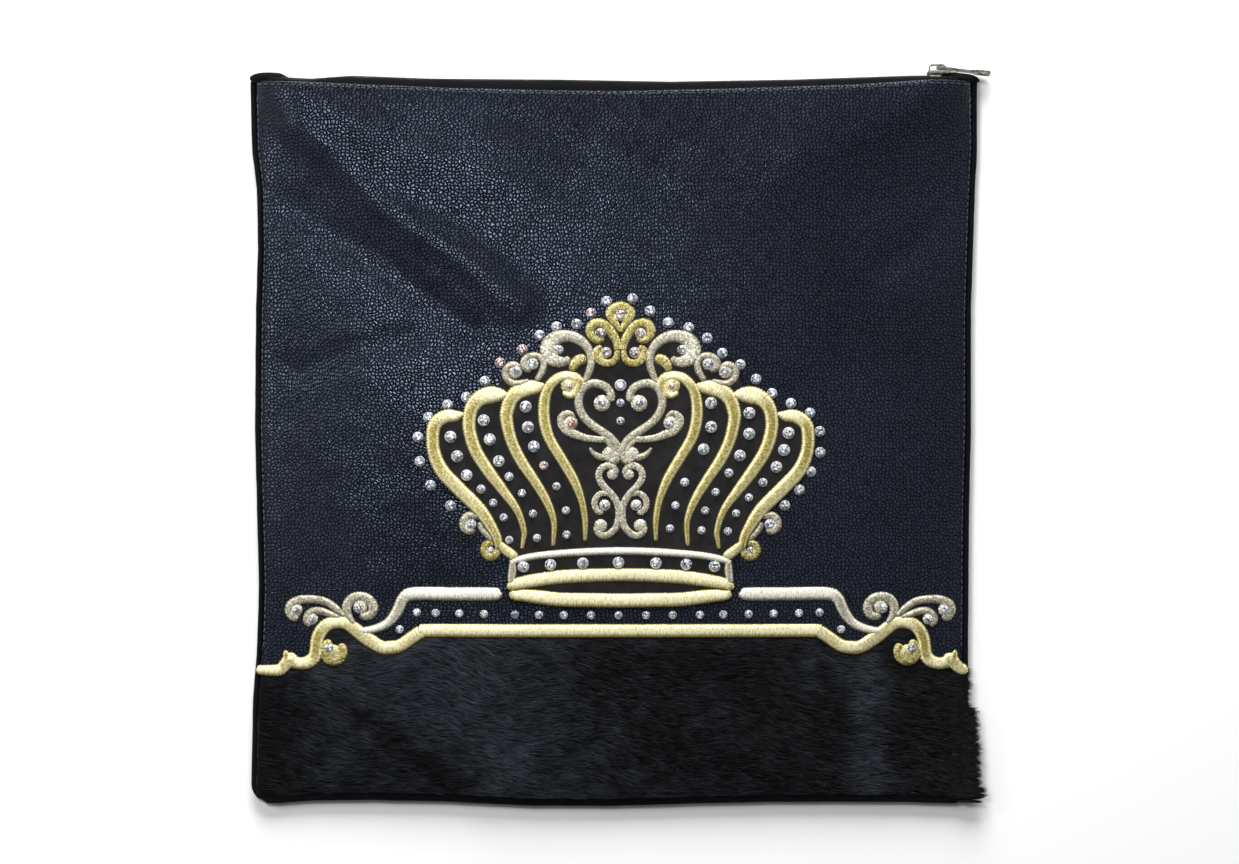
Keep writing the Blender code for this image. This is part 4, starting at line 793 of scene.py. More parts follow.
class Look:
    """A material: even values on the shader's own sockets, and nodes for what varies."""

    def __init__(self, name, colour, roughness, metallic=0.0, **sockets):
        self.material = bpy.data.materials.new(name)
        self.material.use_nodes = True
        self.tree = self.material.node_tree
        self.shader = self.tree.nodes["Principled BSDF"]
        self.paint(Base_Color=(*colour, 1.0), Roughness=roughness, Metallic=metallic, **sockets)

    def feed(self, socket, value):
        """Give a socket a value, or link another socket to it."""
        if isinstance(value, bpy.types.NodeSocket):
            self.tree.links.new(value, socket)
        else:
            socket.default_value = value

    def paint(self, **sockets):
        """Feed the shader's sockets."""
        for key, value in sockets.items():
            self.feed(self.shader.inputs[key.replace("_", " ")], value)

    def node(self, kind, output, settings=None, first=(), **sockets):
        """One output of a new node; values go to its first sockets in order and to named ones."""
        node = self.tree.nodes.new("ShaderNode" + kind)
        for key, value in (settings or {}).items():
            setattr(node, key, value)
        for socket, value in zip(node.inputs, first):
            self.feed(socket, value)
        for key, value in sockets.items():
            self.feed(node.inputs[key.replace("_", " ")], value)
        return node.outputs[output]

    def place(self):
        """Points of the object, in metres."""
        return self.node("TexCoord", "Object")

    def read(self, name, output):
        """What the mesh says of each point or face under a name."""
        return self.node("Attribute", output, {"attribute_name": name})

    def noise(self, vector, scale, detail=3.0, roughness=0.5):
        """Cloudy noise from 0 to 1."""
        return self.node("TexNoise", "Fac", Vector=vector, Scale=scale, Detail=detail,
                         Roughness=roughness)

    def ranged(self, value, low, high, to_low=0.0, to_high=1.0):
        """Map a value's range to another, smoothly and clamped."""
        return self.node("MapRange", "Result", {"interpolation_type": "SMOOTHSTEP"},
                         (value, low, high, to_low, to_high))

    def maths(self, operation, *values):
        """A sum, product or power of sockets and numbers."""
        return self.node("Math", "Value", {"operation": operation}, values)

    def mix(self, factor, first, second):
        """Mix two colours by a value."""
        node = self.tree.nodes.new("ShaderNodeMix")
        node.data_type = "RGBA"
        self.feed(node.inputs["Factor"], factor)
        colours = [socket for socket in node.inputs if socket.type == "RGBA"]
        for socket, colour in zip(colours, (first, second)):
            self.feed(socket, (*colour, 1.0) if isinstance(colour, tuple) else colour)
        return [socket for socket in node.outputs if socket.type == "RGBA"][0]

    def bump(self, height, distance, strength=1.0):
        """Raise the surface by a height, over a distance in metres."""
        self.paint(Normal=self.node("Bump", "Normal", Height=height, Distance=distance,
                                    Strength=strength))

    def stretched(self, vector, *scale):
        """A vector scaled along each axis."""
        return self.node("Mapping", "Vector", Vector=vector, Scale=scale)


def leather(name, colour, valley_shade, pebble, roughness, shine):
    """Pebbled leather: rounded grains with painted shade in the valleys, uneven in colour and
    gloss.
    """
    look = Look(name, colour, roughness, Specular_IOR_Level=shine)
    place = look.place()
    wobble = look.node("TexNoise", "Color", Vector=place, Scale=350.0, Detail=1.0)
    wander = look.node("VectorMath", "Vector", {"operation": "MULTIPLY_ADD"},
                       (wobble, (PEBBLE_WOBBLE * MM,) * 3, place))
    edge = look.node("TexVoronoi", "Distance",
                     {"feature": "DISTANCE_TO_EDGE", "voronoi_dimensions": "2D"}, Vector=wander,
                     Scale=PEBBLES_PER_METRE / pebble, Randomness=0.9)
    crown = look.ranged(edge, 0.02, 0.34)
    shade = look.ranged(look.noise(place, 14.0, 4.0), 0.3, 0.7, 0.8, 1.12)
    look.paint(
        Base_Color=look.node("VectorMath", "Vector", {"operation": "SCALE"},
                             (look.mix(crown, valley_shade, colour),), Scale=shade),
        Roughness=look.ranged(look.noise(place, 160.0), 0.3, 0.7, roughness + 0.1,
                              roughness - 0.06),
        Specular_Tint=look.mix(look.ranged(crown, 0.2, 0.8), (0.0, 0.0, 0.0), GLEAM))
    slope = look.maths("ADD", look.maths("MULTIPLY", edge, -2.0), 1.0)
    height = look.ranged(edge, 0.0, 0.17)
    for part in (look.maths("MULTIPLY", look.noise(place, 2600.0, 2.0), 0.06),
                 look.maths("MULTIPLY", look.noise(place, 320.0, 2.0), 0.5),
                 look.maths("MULTIPLY", look.maths("POWER", slope, 2.0), -PEBBLE_DOME)):
        height = look.maths("ADD", height, part)
    look.bump(height, VALLEY_DEPTH * MM)
    return look.material


def suede():
    """Napped suede: matt, mottled, with a soft sheen."""
    look = Look("suede", (0.012, 0.010, 0.009), 0.95, Sheen_Weight=0.12, Sheen_Roughness=0.5,
                Specular_IOR_Level=0.2)
    place = look.place()
    mottle = look.ranged(look.noise(place, 120.0, 5.0, 0.65), 0.3, 0.7)
    look.paint(Base_Color=look.mix(mottle, (0.005, 0.0043, 0.0046), (0.014, 0.0125, 0.0132)))
    look.bump(look.noise(place, 2600.0, 4.0, 0.7), 0.25 * MM)
    return look.material


def thread(name, painted_shade, light, dotted):
    """Metallic thread: fine lines across the stroke or a painted glitter of dots, with painted
    shade in the dips and the painted light that the mesh carries.
    """
    look = Look(name, light, 0.38, THREAD_METAL, Specular_IOR_Level=0.25)
    lay = look.node("UVMap", "UV", {"uv_map": "lay"})
    painted_light = look.read("painted_light", "Fac")
    if dotted:
        distance = look.node("TexVoronoi", "Distance", Vector=lay, Scale=DOTS_PER_MM)
        tint = distance.node.outputs["Color"]
        grain = look.ranged(distance, 0.0, 0.6, 1.0, 0.0)
        pattern = look.maths("MULTIPLY", look.ranged(tint, 0.3, 0.6, 0.25, 1.5),
                             look.ranged(grain, 0.0, 0.5, 0.4, 1.0))
    else:
        grain = look.noise(look.stretched(lay, 2.4, 0.3, 1.0), 1.0, 3.0, 0.6)
        pattern = look.ranged(grain, 0.36, 0.58, 0.5, 1.08)
    mottle = look.ranged(look.noise(look.stretched(lay, 1.1, 0.7, 1.0), 1.0, 2.0),
                         0.36, 0.64, -0.16, 0.2)
    value = look.maths("ADD", look.maths("MULTIPLY", pattern, painted_light), mottle)
    inside = look.ranged(painted_light, OUTLINE_TONE, 0.25 * OUTLINE_TONE)
    look.paint(Base_Color=look.mix(inside, OUTLINE_AND_SHADOW, look.mix(value, painted_shade, light)))
    look.bump(grain, (DOT_DEPTH if dotted else LINE_DEPTH) * MM, 0.8)
    return look.material


def hair():
    """Glossy short hair, with painted shade at the root and painted sheen where the nap turns."""
    look = Look("hair", (0.01, 0.01, 0.012), 0.5, Specular_IOR_Level=0.10)
    look.paint(Base_Color=look.mix(look.read("painted_light", "Fac"), FUR_DARK, FUR_SHEEN))
    return look.material


def hide():
    """The hide under the hair."""
    look = Look("hide", (0.006, 0.006, 0.007), 0.9, Specular_IOR_Level=0.1)
    strands = look.noise(look.stretched(look.place(), 0.25, 2.0, 1.0), 900.0, 3.0, 0.7)
    look.paint(Base_Color=look.mix(look.ranged(strands, 0.3, 0.7), (0.003, 0.003, 0.003),
                                   (0.010, 0.010, 0.012)))
    look.bump(strands, 0.4 * MM)
    return look.material


def woven_tape():
    """Twill tape of the zip."""
    look = Look("woven_tape", (0.004, 0.004, 0.0045), 0.9, Sheen_Weight=0.03,
                Specular_IOR_Level=0.08)
    place = look.place()
    twill = look.node("TexWave", "Fac", {"bands_direction": "DIAGONAL"}, Vector=place,
                      Scale=420.0, Distortion=1.2, Detail=2.0)
    look.paint(Base_Color=look.mix(twill, (0.002, 0.002, 0.0024), (0.006, 0.006, 0.007)))
    look.bump(look.maths("ADD", twill, look.noise(place, 2400.0, 3.0, 0.7)), 0.18 * MM)
    return look.material


def coil_nylon():
    """Moulded coil of the zip, with a slightly uneven gloss."""
    look = Look("coil_nylon", (0.012, 0.012, 0.013), 0.35)
    look.paint(Roughness=look.ranged(look.noise(look.place(), 700.0), 0.3, 0.7, 0.28, 0.48))
    return look.material


def antique_nickel():
    """Warm nickel plate, darker in its patches of patina."""
    look = Look("antique_nickel", (0.5, 0.48, 0.41), 0.3, 1.0)
    place = look.place()
    patina = look.ranged(look.noise(place, 420.0, 5.0, 0.7), 0.38, 0.68)
    look.paint(Base_Color=look.mix(patina, (0.09, 0.085, 0.068), (0.40, 0.385, 0.33)),
               Roughness=look.ranged(patina, 0.0, 1.0, 0.5, 0.24))
    look.bump(look.noise(place, 1500.0), 0.05 * MM)
    return look.material


def cut_glass():
    """Foiled cut glass: each facet's colour carries a painted reflection, lighter or darker, of a
    part of the room.
    """
    look = Look("cut_glass", (0.8, 0.82, 0.88), 0.12, 0.35, Coat_Weight=0.6, Coat_Roughness=0.03)
    look.paint(Base_Color=look.read("tint", "Color"))
    return look.material


def sewing_thread():
    """Twisted sewing thread of the topstitching."""
    look = Look("sewing_thread", (0.08, 0.09, 0.12), 0.55, Sheen_Weight=0.2)
    twist = look.node("TexWave", "Fac", {"bands_direction": "DIAGONAL"}, Vector=look.place(),
                      Scale=900.0)
    look.paint(Base_Color=look.mix(twist, (0.014, 0.016, 0.022), (0.042, 0.047, 0.062)))
    look.bump(twist, 0.08 * MM)
    return look.material


# Soft shell

def leather_front():
    """The leather of the front, with its turned top edge."""
    x, y = panel_points(*LEATHER_GRID, lambda at: seam(at) - SEAM_LAP,
                        lambda at: leather_top(at) - TURNED_EDGE)
    turn = np.radians(np.linspace(*TURNED_ANGLES))
    out = TURNED_EDGE * np.diff(np.concatenate([[0], np.sin(turn)]))
    down = TURNED_EDGE * np.diff(np.concatenate([[0], 1 - np.cos(turn)]))
    grids = with_border(x, y, relief(x, y), list(zip(out, down)), ["top"])
    grids = with_border(*grids, SEAM_STEPS, ["left", "right"])
    obj = grid_piece("leather_front", *grids, FRONT_LEATHER)
    stands_for(obj, "leather", "front_panel")


def leather_back():
    """The plain back, turned up at its edges."""
    x, y = panel_points(*BACK_GRID, lambda at: bottom_side(at) + PANEL_INSET,
                        lambda at: leather_top(at) - TAPE_FROM_EDGE)
    fade = edge_fade(x, y)
    z = back_height(x, y) + BACK_RELIEF * fade * (1 + waves(x, y, *BACK_WAVE) / 3)
    z = np.where(fade > 0.999, np.minimum(z, BACK_FLAT_TO), z)
    up = [(out, -down) for out, down in SEAM_STEPS]
    grids = with_border(x, y, z, up, ["top", "bottom", "left", "right"])
    obj = grid_piece("leather_back", *grids, BACK_LEATHER)
    obj.data.flip_normals()
    stands_for(obj, "back_leather", "back_panel")


def piping_path():
    """Centre line of the piping: down the left side, along the bottom and up the right."""
    top = PIPING_TOP + PIPING_RUN_ON
    left_x = float(left_side(-PIPING_TOP)) + PIPING_RADIUS
    right_x = float(right_side(-PIPING_TOP)) - PIPING_RADIUS
    left_y = float(bottom_side(left_x)) + PIPING_RADIUS
    right_y = float(bottom_side(right_x)) + PIPING_RADIUS
    corner = PIPING_CORNER
    turn = np.radians(PIPING_TURN)
    early, late = corner * (1 - np.cos(turn)), corner * (1 - np.sin(turn))
    down = np.linspace(top, left_y + corner, PIPING_STEPS)
    right = np.linspace(left_x + corner, right_x - corner, PIPING_STEPS)
    up = np.linspace(right_y + corner, top, PIPING_STEPS)
    path = np.vstack([np.column_stack(run) for run in (
        (left_side(down) + PIPING_RADIUS, down), (left_x + early, left_y + late),
        (right, bottom_side(right) + PIPING_RADIUS), (right_x - late, right_y + early),
        (right_side(up) - PIPING_RADIUS, up))])
    for aside, rise in PIPING_END:
        path = np.vstack([(path[0, 0] + aside, top + rise), path,
                          (path[-1, 0] - aside, top + rise)])
    return path


def bound_edge():
    """The smooth bound edge round three sides."""
    path = piping_path()
    x, y = path.T
    path = np.column_stack([path, mixed_waves(x, y, PIPING_WANDER, PIPING_HEIGHT)])
    thick = PIPING_RADIUS * mixed_waves(x, y, PIPING_SWELL, 1)
    points, faces = tube(path, thick, thick * PIPING_TALLER, PIPING_SIDES)
    obj = build("bound_edge", points, faces, EDGE_LEATHER)
    stands_for(obj, "back_leather", "edge_piping")


# Fur

def hide_overhang(y):
    """The overhang at every point of a grid."""
    return np.vectorize(fur_overhang)(y)


def fur_hide():
    """The dark hide that the hair grows from."""
    x, y = panel_points(*HIDE_GRID, lambda at: bottom_side(at) + PANEL_INSET - FUR_PAST_BOTTOM,
                        lambda at: seam(at) + SEAM_LAP, hide_overhang)
    grids = with_border(x, y, relief(x, y) - HIDE_DROP, SEAM_STEPS, ["bottom", "left", "right"])
    obj = grid_piece("fur_hide", *grids, HIDE)
    stands_for(obj, "fur", "fur_panel")


def nap_tone(x, y):
    """Painted sheen on the nap: how pale it looks, from its patches and streaks."""
    painted_light = mixed_waves(x, y, NAP_SHEEN_PATCHES, NAP_SHEEN)
    for path, half_width, gain in NAP_SHEEN_STREAKS:
        painted_light = painted_light + gain * np.exp(-(distance_to_path(x, y, path) / half_width) ** 2)
    return np.clip(painted_light, 0.0, 1.0)


def hair_roots(generator, count, first_x):
    """Places of the hairs: sown over a box, and kept inside the panel."""
    top = float(np.max(seam(np.linspace(-180, 180, 90))))
    x = generator.uniform(first_x, FUR_BOX_RIGHT, count * SOWN_PER_HAIR)
    y = generator.uniform(FUR_BOX_BOTTOM, top, count * SOWN_PER_HAIR)
    low_down = np.clip((FUR_CORNER_Y[0] - y) / FUR_CORNER_Y[1], 0, 1)
    far_right = np.clip((x - FUR_CORNER_X[0]) / FUR_CORNER_X[1], 0, 1)
    right = (right_side(y) - FUR_FROM_SIDE + HAIR_OVERHANG_SHARE * hide_overhang(y)
             + FUR_CORNER_REACH * low_down)
    lowest = bottom_side(x) + FUR_FROM_BOTTOM - FUR_CORNER_REACH * far_right
    inside = (x > left_side(y) + PANEL_INSET) & (x < right) & (y > lowest)
    inside &= y < seam(x) - HAIR_BELOW_SEAM
    return x[inside][:count], y[inside][:count]


def fur_hair(number, count, first_x):
    """One lot of short hairs: tapered blades that lean to the right and slightly down."""
    generator = np.random.default_rng(HAIR_SEED + number)
    x, y = hair_roots(generator, count, first_x)
    count = len(x)
    painted_light = nap_tone(x, y)
    to_edge = np.clip((right_side(y) - x) / LOCK_BAND, 0, 1)
    lean = np.radians(mixed_waves(x, y, HAIR_TURNS, HAIR_LEAN)
                      + generator.normal(0, HAIR_STRAY, count) * (2 - to_edge))
    lean = lean * np.clip((y - bottom_side(x) - PANEL_INSET) / ROOT_BAND, 0.05, 1)
    length = generator.uniform(*HAIR_LENGTH, count) * (0.8 + 0.2 * to_edge)
    lock = np.round(mixed_waves(x, y, LOCK_WANDER, y) / LOCK_SPACING).astype(int) + LOCK_FIRST
    lock_reach = generator.uniform(*LOCK_REACH, LOCK_COUNT)[lock]
    scatter = generator.uniform(-LOCK_SCATTER, LOCK_SCATTER, LOCK_COUNT)
    lock_y = (lock - LOCK_FIRST) * LOCK_SPACING + scatter[lock]
    length = length * (1 + (lock_reach - 1) * (1 - to_edge))
    gather = 0.05 + 0.6 * (1 - to_edge)
    roll = np.radians(generator.normal(0, HAIR_ROLL, count))
    width = generator.uniform(*HAIR_WIDTH, count)
    lift = generator.uniform(*HAIR_LIFT, count) * (0.85 + 0.5 * painted_light)
    root = relief(x, y) - HIDE_DROP
    rows = []
    for share, rise, taper in HAIR_STATIONS:
        bend = lean + share * share * np.radians(HAIR_CURL) * waves(x, y, *HAIR_CURL_WAVE)
        px = x + share * length * np.cos(bend)
        py = y + share * length * np.sin(bend) + gather * share * share * (lock_y - y)
        over = relief(px, py) - HIDE_DROP + pile(px, py) * rise * lift + HAIR_CLEAR
        hanging = root + pile(x, y) * rise * lift - HAIR_DROOP * share * length
        beyond = px > right_side(py) - PANEL_INSET - HANGING_BAND
        pz = np.where(beyond, np.maximum(over, hanging), over)
        middle = np.column_stack([px, py, pz])
        half = np.column_stack([-np.sin(bend) * np.cos(roll), np.cos(bend) * np.cos(roll),
                                np.sin(roll)]) * (0.5 * width * taper)[:, None]
        rows.append(middle - half)
        if taper > 0:
            rows.append(middle + half)
    per_hair = len(rows)
    first = np.arange(count)[:, None] * per_hair
    faces = []
    for row in range(0, per_hair - 3, 2):
        faces += (first + np.array([row, row + 1, row + 3, row + 2])).tolist()
    faces += (first + np.arange(per_hair - 3, per_hair)).tolist()
    obj = build(f"fur_hair_{number}", np.stack(rows, axis=1).reshape(-1, 3), faces, HAIR)
    # Painted sheen of each strand, with painted shade towards its root
    strand = np.clip(painted_light + generator.normal(0, STRAND_SPREAD, count), 0, 1)
    along = np.repeat([share for share, _, _ in HAIR_STATIONS], 2)[:per_hair]
    shade = ROOT_SHADE + (1 - ROOT_SHADE) * along
    point_values(obj, "painted_light", (strand[:, None] * shade[None, :]).ravel())
    stands_for(obj, "fur")


# Embroidery

def satin_tone(ahead_x, ahead_y, across, rim, bead):
    """Painted light on satin stitches: painted highlights on level strokes, on the rims, and on the
    outer side.
    """
    flat = np.abs(ahead_x) ** 3
    outer = np.clip(-ahead_y * across, 0, 1)
    painted_light = 0.04 + 0.96 * flat + (0.95 + 0.25 * bead) * rim * (1 - flat)
    return painted_light + OUTER_HIGHLIGHT * outer ** 2 * (1 - rim) * (1 - flat)


def filled_tone(half, rim, bead):
    """Painted light on dotted filling: paler where the stroke is fat, and painted highlights on its
    rims.
    """
    fat = np.clip((half - FAT_STROKE[0]) / FAT_STROKE[1], 0, 1)
    return 0.26 + 0.42 * fat + (0.68 - 0.3 * fat + 0.2 * bead) * rim


def stitched(rows, mirror, base, dotted, seed):
    """Stitching over a padded line: points, faces, thread coordinates and painted light."""
    generator = np.random.default_rng(seed)
    fine, run = smooth(rows)
    steps = unit_steps(fine[:, :2])
    stations = np.append(np.arange(0, run[-1], STITCH_STEP), run[-1])
    columns = ACROSS_NARROW if fine[:, 2].max() < NARROW_STROKE else ACROSS_WIDE
    across = np.array([-1, *columns, 1])
    within = np.abs(across) < 1
    outline = np.zeros(len(across))
    outline[[0, -1]] = -1, 1
    slant = 0.0 if dotted else STITCH_SLANT
    width = np.interp(stations, run, fine[:, 2])
    at = np.clip(stations[:, None] + slant * across[None, :] * width[:, None], 0, run[-1])

    def read(column):
        return np.interp(at.ravel(), run, column).reshape(at.shape)

    ahead_x, ahead_y = read(steps[:, 0]), read(steps[:, 1])
    half = 0.5 * read(fine[:, 2])
    to_end = np.clip(np.minimum(at, run[-1] - at) / np.maximum(half, 0.3), 0, 1)
    rounding = np.sqrt(np.clip(to_end * (2 - to_end), 0.02, 1))
    odd = np.where(np.arange(len(stations)) % 2, 1.0, -1.0)[:, None]
    bead = np.sin(2 * math.pi * stations / BEAD_PITCH)[:, None]
    rough = BEADING * bead + RAGGEDNESS * generator.standard_normal(odd.shape)
    ragged = 1 + rough * np.abs(across)
    offset = across[None, :] * half * rounding * ragged + OUTLINE_WIDTH * outline
    world_x = CROWN_AXIS_X + mirror * (read(fine[:, 0]) - ahead_y * offset)
    world_y = CROWN_BASE_Y + (read(fine[:, 1]) + ahead_x * offset)
    dome = ((1 - np.abs(across) ** DOME_SHAPE[0]) ** DOME_SHAPE[1])[None, :]
    rise = np.minimum(THREAD_RISE, THREAD_PLUMP * half + THREAD_LEAST) * dome * rounding
    if dotted:
        rise = rise + DOT_LIFT * generator.standard_normal(rise.shape) * (dome > 0)
    else:
        rise = rise + SATIN_LIFT * odd * dome
    rise = np.where(within, rise, OUTLINE_LIFT)
    z = relief(world_x, world_y) + np.maximum(base + rise, 0.05)
    rim = np.clip((np.abs(across) - RIM_FROM) / RIM_RAMP, 0, 1)[None, :]
    painted_light = (filled_tone(half, rim, bead) if dotted
            else satin_tone(ahead_x, ahead_y, across, rim, bead))
    # Painted shade on the lower side of level strokes, and a little on the upper side
    down = -ahead_x * across
    under = np.clip((down - UNDER_BAND[0]) / UNDER_BAND[1], 0, 1)
    painted_light = painted_light * (1 - UNDER_SHADE * under - UPPER_SHADE * np.clip(-down, 0, 1))
    # Outside the stroke: the dark rim, partly painted shadow
    painted_light = np.where(within, painted_light, np.where(outline == 0, 0.0, OUTLINE_TONE))
    points = np.stack([world_x, world_y, z], axis=-1).reshape(-1, 3)
    lay = np.stack([at + LAY_SHIFT * seed, offset], axis=-1).reshape(-1, 2)
    return points, quads(*at.shape, flip=mirror > 0), lay, painted_light.ravel()


def button(x, y, radius, mirror, base, seed):
    """A round knot of thread at the end of a scroll."""
    angle = np.linspace(0, 2 * math.pi, BUTTON_SIDES, endpoint=False)
    odd = np.where(np.arange(BUTTON_SIDES) % 2, 1.0, -1.0)
    points, lay = [], []
    for reach, rise in BUTTON_RINGS:
        wide = radius * reach * (1 + BUTTON_RAGGED * odd)
        ring_x = CROWN_AXIS_X + mirror * (x + wide * np.cos(angle))
        ring_y = CROWN_BASE_Y + y + wide * np.sin(angle)
        ring_z = relief(ring_x, ring_y) + base + BUTTON_RISE * rise + BUTTON_GRAIN * odd
        points.append(np.column_stack([ring_x, ring_y, ring_z]))
        lay.append(np.column_stack([angle * radius + seed, np.full(BUTTON_SIDES, reach * radius)]))
    last = (len(BUTTON_RINGS) - 1) * BUTTON_SIDES
    cap = list(range(last, last + BUTTON_SIDES))[::mirror]
    faces = quads(len(BUTTON_RINGS), BUTTON_SIDES, ring=True, flip=mirror < 0) + [cap]
    points = np.vstack(points)
    return points, faces, np.vstack(lay), np.full(len(points), BUTTON_PAINTED_LIGHT)


def embroidery(name, slot, shapes, dotted, nodes=()):
    """One piece of stitching from its strokes and knots."""
    points, faces = joined([shape[:2] for shape in shapes])
    obj = build(name, points, faces, THREADS[slot, dotted])
    lay = np.vstack([shape[2] for shape in shapes])
    layer = obj.data.uv_layers.new(name="lay")
    corners = np.zeros(len(obj.data.loops), np.int32)
    obj.data.loops.foreach_get("vertex_index", corners)
    layer.data.foreach_set("uv", lay[corners].astype(np.float32).ravel())
    point_values(obj, "painted_light", np.concatenate([shape[3] for shape in shapes]))
    stands_for(obj, slot, *nodes)


def embroidered_node(node, shapes, dotted):
    """The stitching of one node, in the metal that its name starts with."""
    name = "thread_" + node.replace("gold_rib", "rib")
    embroidery(name, node.split("_")[0] + "_thread", shapes, dotted, [node])


def embroidered_pairs(table, seed):
    """The right pieces, then the left, of rows of node, path, carrier and dotted; last seed."""
    for side_name, mirror in SIDES:
        for node, rows, base, dotted in table:
            seed += 1
            embroidered_node(node.format(side_name),
                             [stitched(rows, mirror, base, dotted, seed)], dotted)
    return seed


def crown_embroidery():
    """Ribs, scrolls, finial and band of the crown."""
    ribs = [(f"gold_rib_{{}}_{number}", rows, ON_GROUND_TOP, False)
            for number, rows in enumerate(RIBS, 1)]
    seed = embroidered_pairs(ribs + [
        ("silver_c_scroll_{}", C_SCROLL, ON_GROUND_TOP, True),
        ("silver_ring_scroll_{}", RING_SCROLL, ON_GROUND_TOP, True),
        ("silver_small_ring_{}", SMALL_RING_SCROLL, ON_GROUND_TOP, True),
        ("silver_side_scroll_{}", SIDE_SCROLL, ON_LEATHER_TOP, True),
        ("gold_side_curl_{}", SIDE_CURL, ON_LEATHER_TOP, True)], 0)
    for node, strokes in (
            ("gold_top_scrolls", (TOP_SCROLL, TOP_LOWER_SCROLL, FINIAL)),
            ("silver_centre_scrolls", (HEART, LOWER_SCROLL, FLYING_SCROLL, MIDDLE_CURL))):
        shapes = []
        for place, rows in enumerate(strokes):
            for _, mirror in SIDES:
                seed += 1
                base = ON_GROUND_TOP - STROKE_STEP * place
                shapes.append(stitched(rows, mirror, base, True, seed))
        embroidered_node(node, shapes, True)
    for node, strokes, seed in (
            ("gold_band_lens", (BAND_UPPER, BAND_LOWER), LENS_SEED),
            ("silver_band_line", (BAND_LINE,), BAND_LINE_SEED)):
        embroidered_node(node, [stitched(whole_width(rows), 1, ON_GROUND_TOP, False, seed + place)
                                for place, rows in enumerate(strokes)], False)


def border_embroidery():
    """The border over the seam, the silver bars and the corner scrolls."""
    end_left = float(left_side(BORDER_END_Y)) + BORDER_END_INSET - CROWN_AXIS_X
    end_right = float(right_side(BORDER_END_Y)) - BORDER_END_INSET - CROWN_AXIS_X
    rows = [(end_left, *BORDER_ENDS[0]), *whole_width(BORDER), (end_right, *BORDER_ENDS[1])]
    shapes = [stitched(rows, 1, ON_BORDER, False, BORDER_SEED)]
    embroidered_node("gold_border", shapes, False)
    embroidered_pairs([
        ("silver_bar_{}", SILVER_BAR, ON_LEATHER_TOP, False),
        ("silver_corner_c_{}", CORNER_C, ON_LEATHER_TOP, True),
        ("silver_leaf_scroll_{}", CORNER_LEAF, ON_LEATHER_TOP, True),
        ("silver_small_scroll_{}", CORNER_SMALL, ON_LEATHER_TOP, True),
        ("gold_corner_curl_{}", arc(*CORNER_CURL), ON_HIDE, True)], BORDER_SEED)


def small_embroidery():
    """Crescents, hooks and knots that are too fine for the solids."""
    for slot, strokes, knots in (("gold_thread", GOLD_EXTRAS, GOLD_KNOTS),
                                 ("silver_thread", SILVER_EXTRAS, SILVER_KNOTS)):
        satin, filled = [], []
        for _, mirror in SIDES:
            for rows, base, dotted in strokes:
                seed = SMALL_SEED + len(satin) + 10 * len(filled)
                shapes = filled if dotted else satin
                shapes.append(stitched(rows, mirror, base, dotted, seed))
            for x, y, radius, base in knots:
                filled.append(button(x, y, radius, mirror, base, len(filled)))
        embroidery(f"thread_small_satin_{slot}", slot, satin, False)
        embroidery(f"thread_small_filled_{slot}", slot, filled, True)


# Ground and stones

def ground_outline():
    """Points close together round the whole outline, and its corners."""
    half = [(CROWN_AXIS_X + x, CROWN_BASE_Y + y) for x, y in GROUND_OUTLINE]
    corners = half + [(2 * CROWN_AXIS_X - x, y) for x, y in reversed(half[1:-1])]
    outline = []
    for (ax, ay), (bx, by) in zip(corners, corners[1:] + corners[:1]):
        pieces = max(1, int(math.hypot(bx - ax, by - ay) / GROUND_STEP))
        outline += [(ax + (bx - ax) * i / pieces, ay + (by - ay) * i / pieces)
                    for i in range(pieces)]
    return outline, np.array(corners)


def ground():
    """The suede under the crown, cut to its outline."""
    outline, corners = ground_outline()
    low, high = corners.min(axis=0), corners.max(axis=0)
    inner = [(x, y) for x in np.arange(low[0] + 1, high[0], GROUND_STEP)
             for y in np.arange(low[1] + 1, high[1], GROUND_STEP)]
    count = len(outline)
    flat, _, faces, *_ = delaunay_2d_cdt(
        [Vector(point) for point in outline + inner], [], [list(range(count))], 1, 1e-4)
    flat = np.array([tuple(point) for point in flat])
    top = relief(flat[:, 0], flat[:, 1]) + GROUND_LIFT + GROUND_THICK
    used = sorted({i for face in faces for i in face})
    new = {old: place for place, old in enumerate(used)}
    points = np.column_stack([flat, top])[used]
    faces = [[new[i] for i in face] for face in faces]
    rim = [new[i] for i in range(count)]
    skirt = points[rim] - (0, 0, GROUND_LIFT + GROUND_THICK + 0.1)
    start = len(points)
    for i in range(count):
        j = (i + 1) % count
        faces.append([rim[i], start + i, start + j, rim[j]])
    obj = build("suede_ground", np.vstack([points, skirt]), faces, SUEDE)
    obj.data.set_sharp_from_angle(angle=math.radians(50))
    stands_for(obj, "suede", "crown_ground")


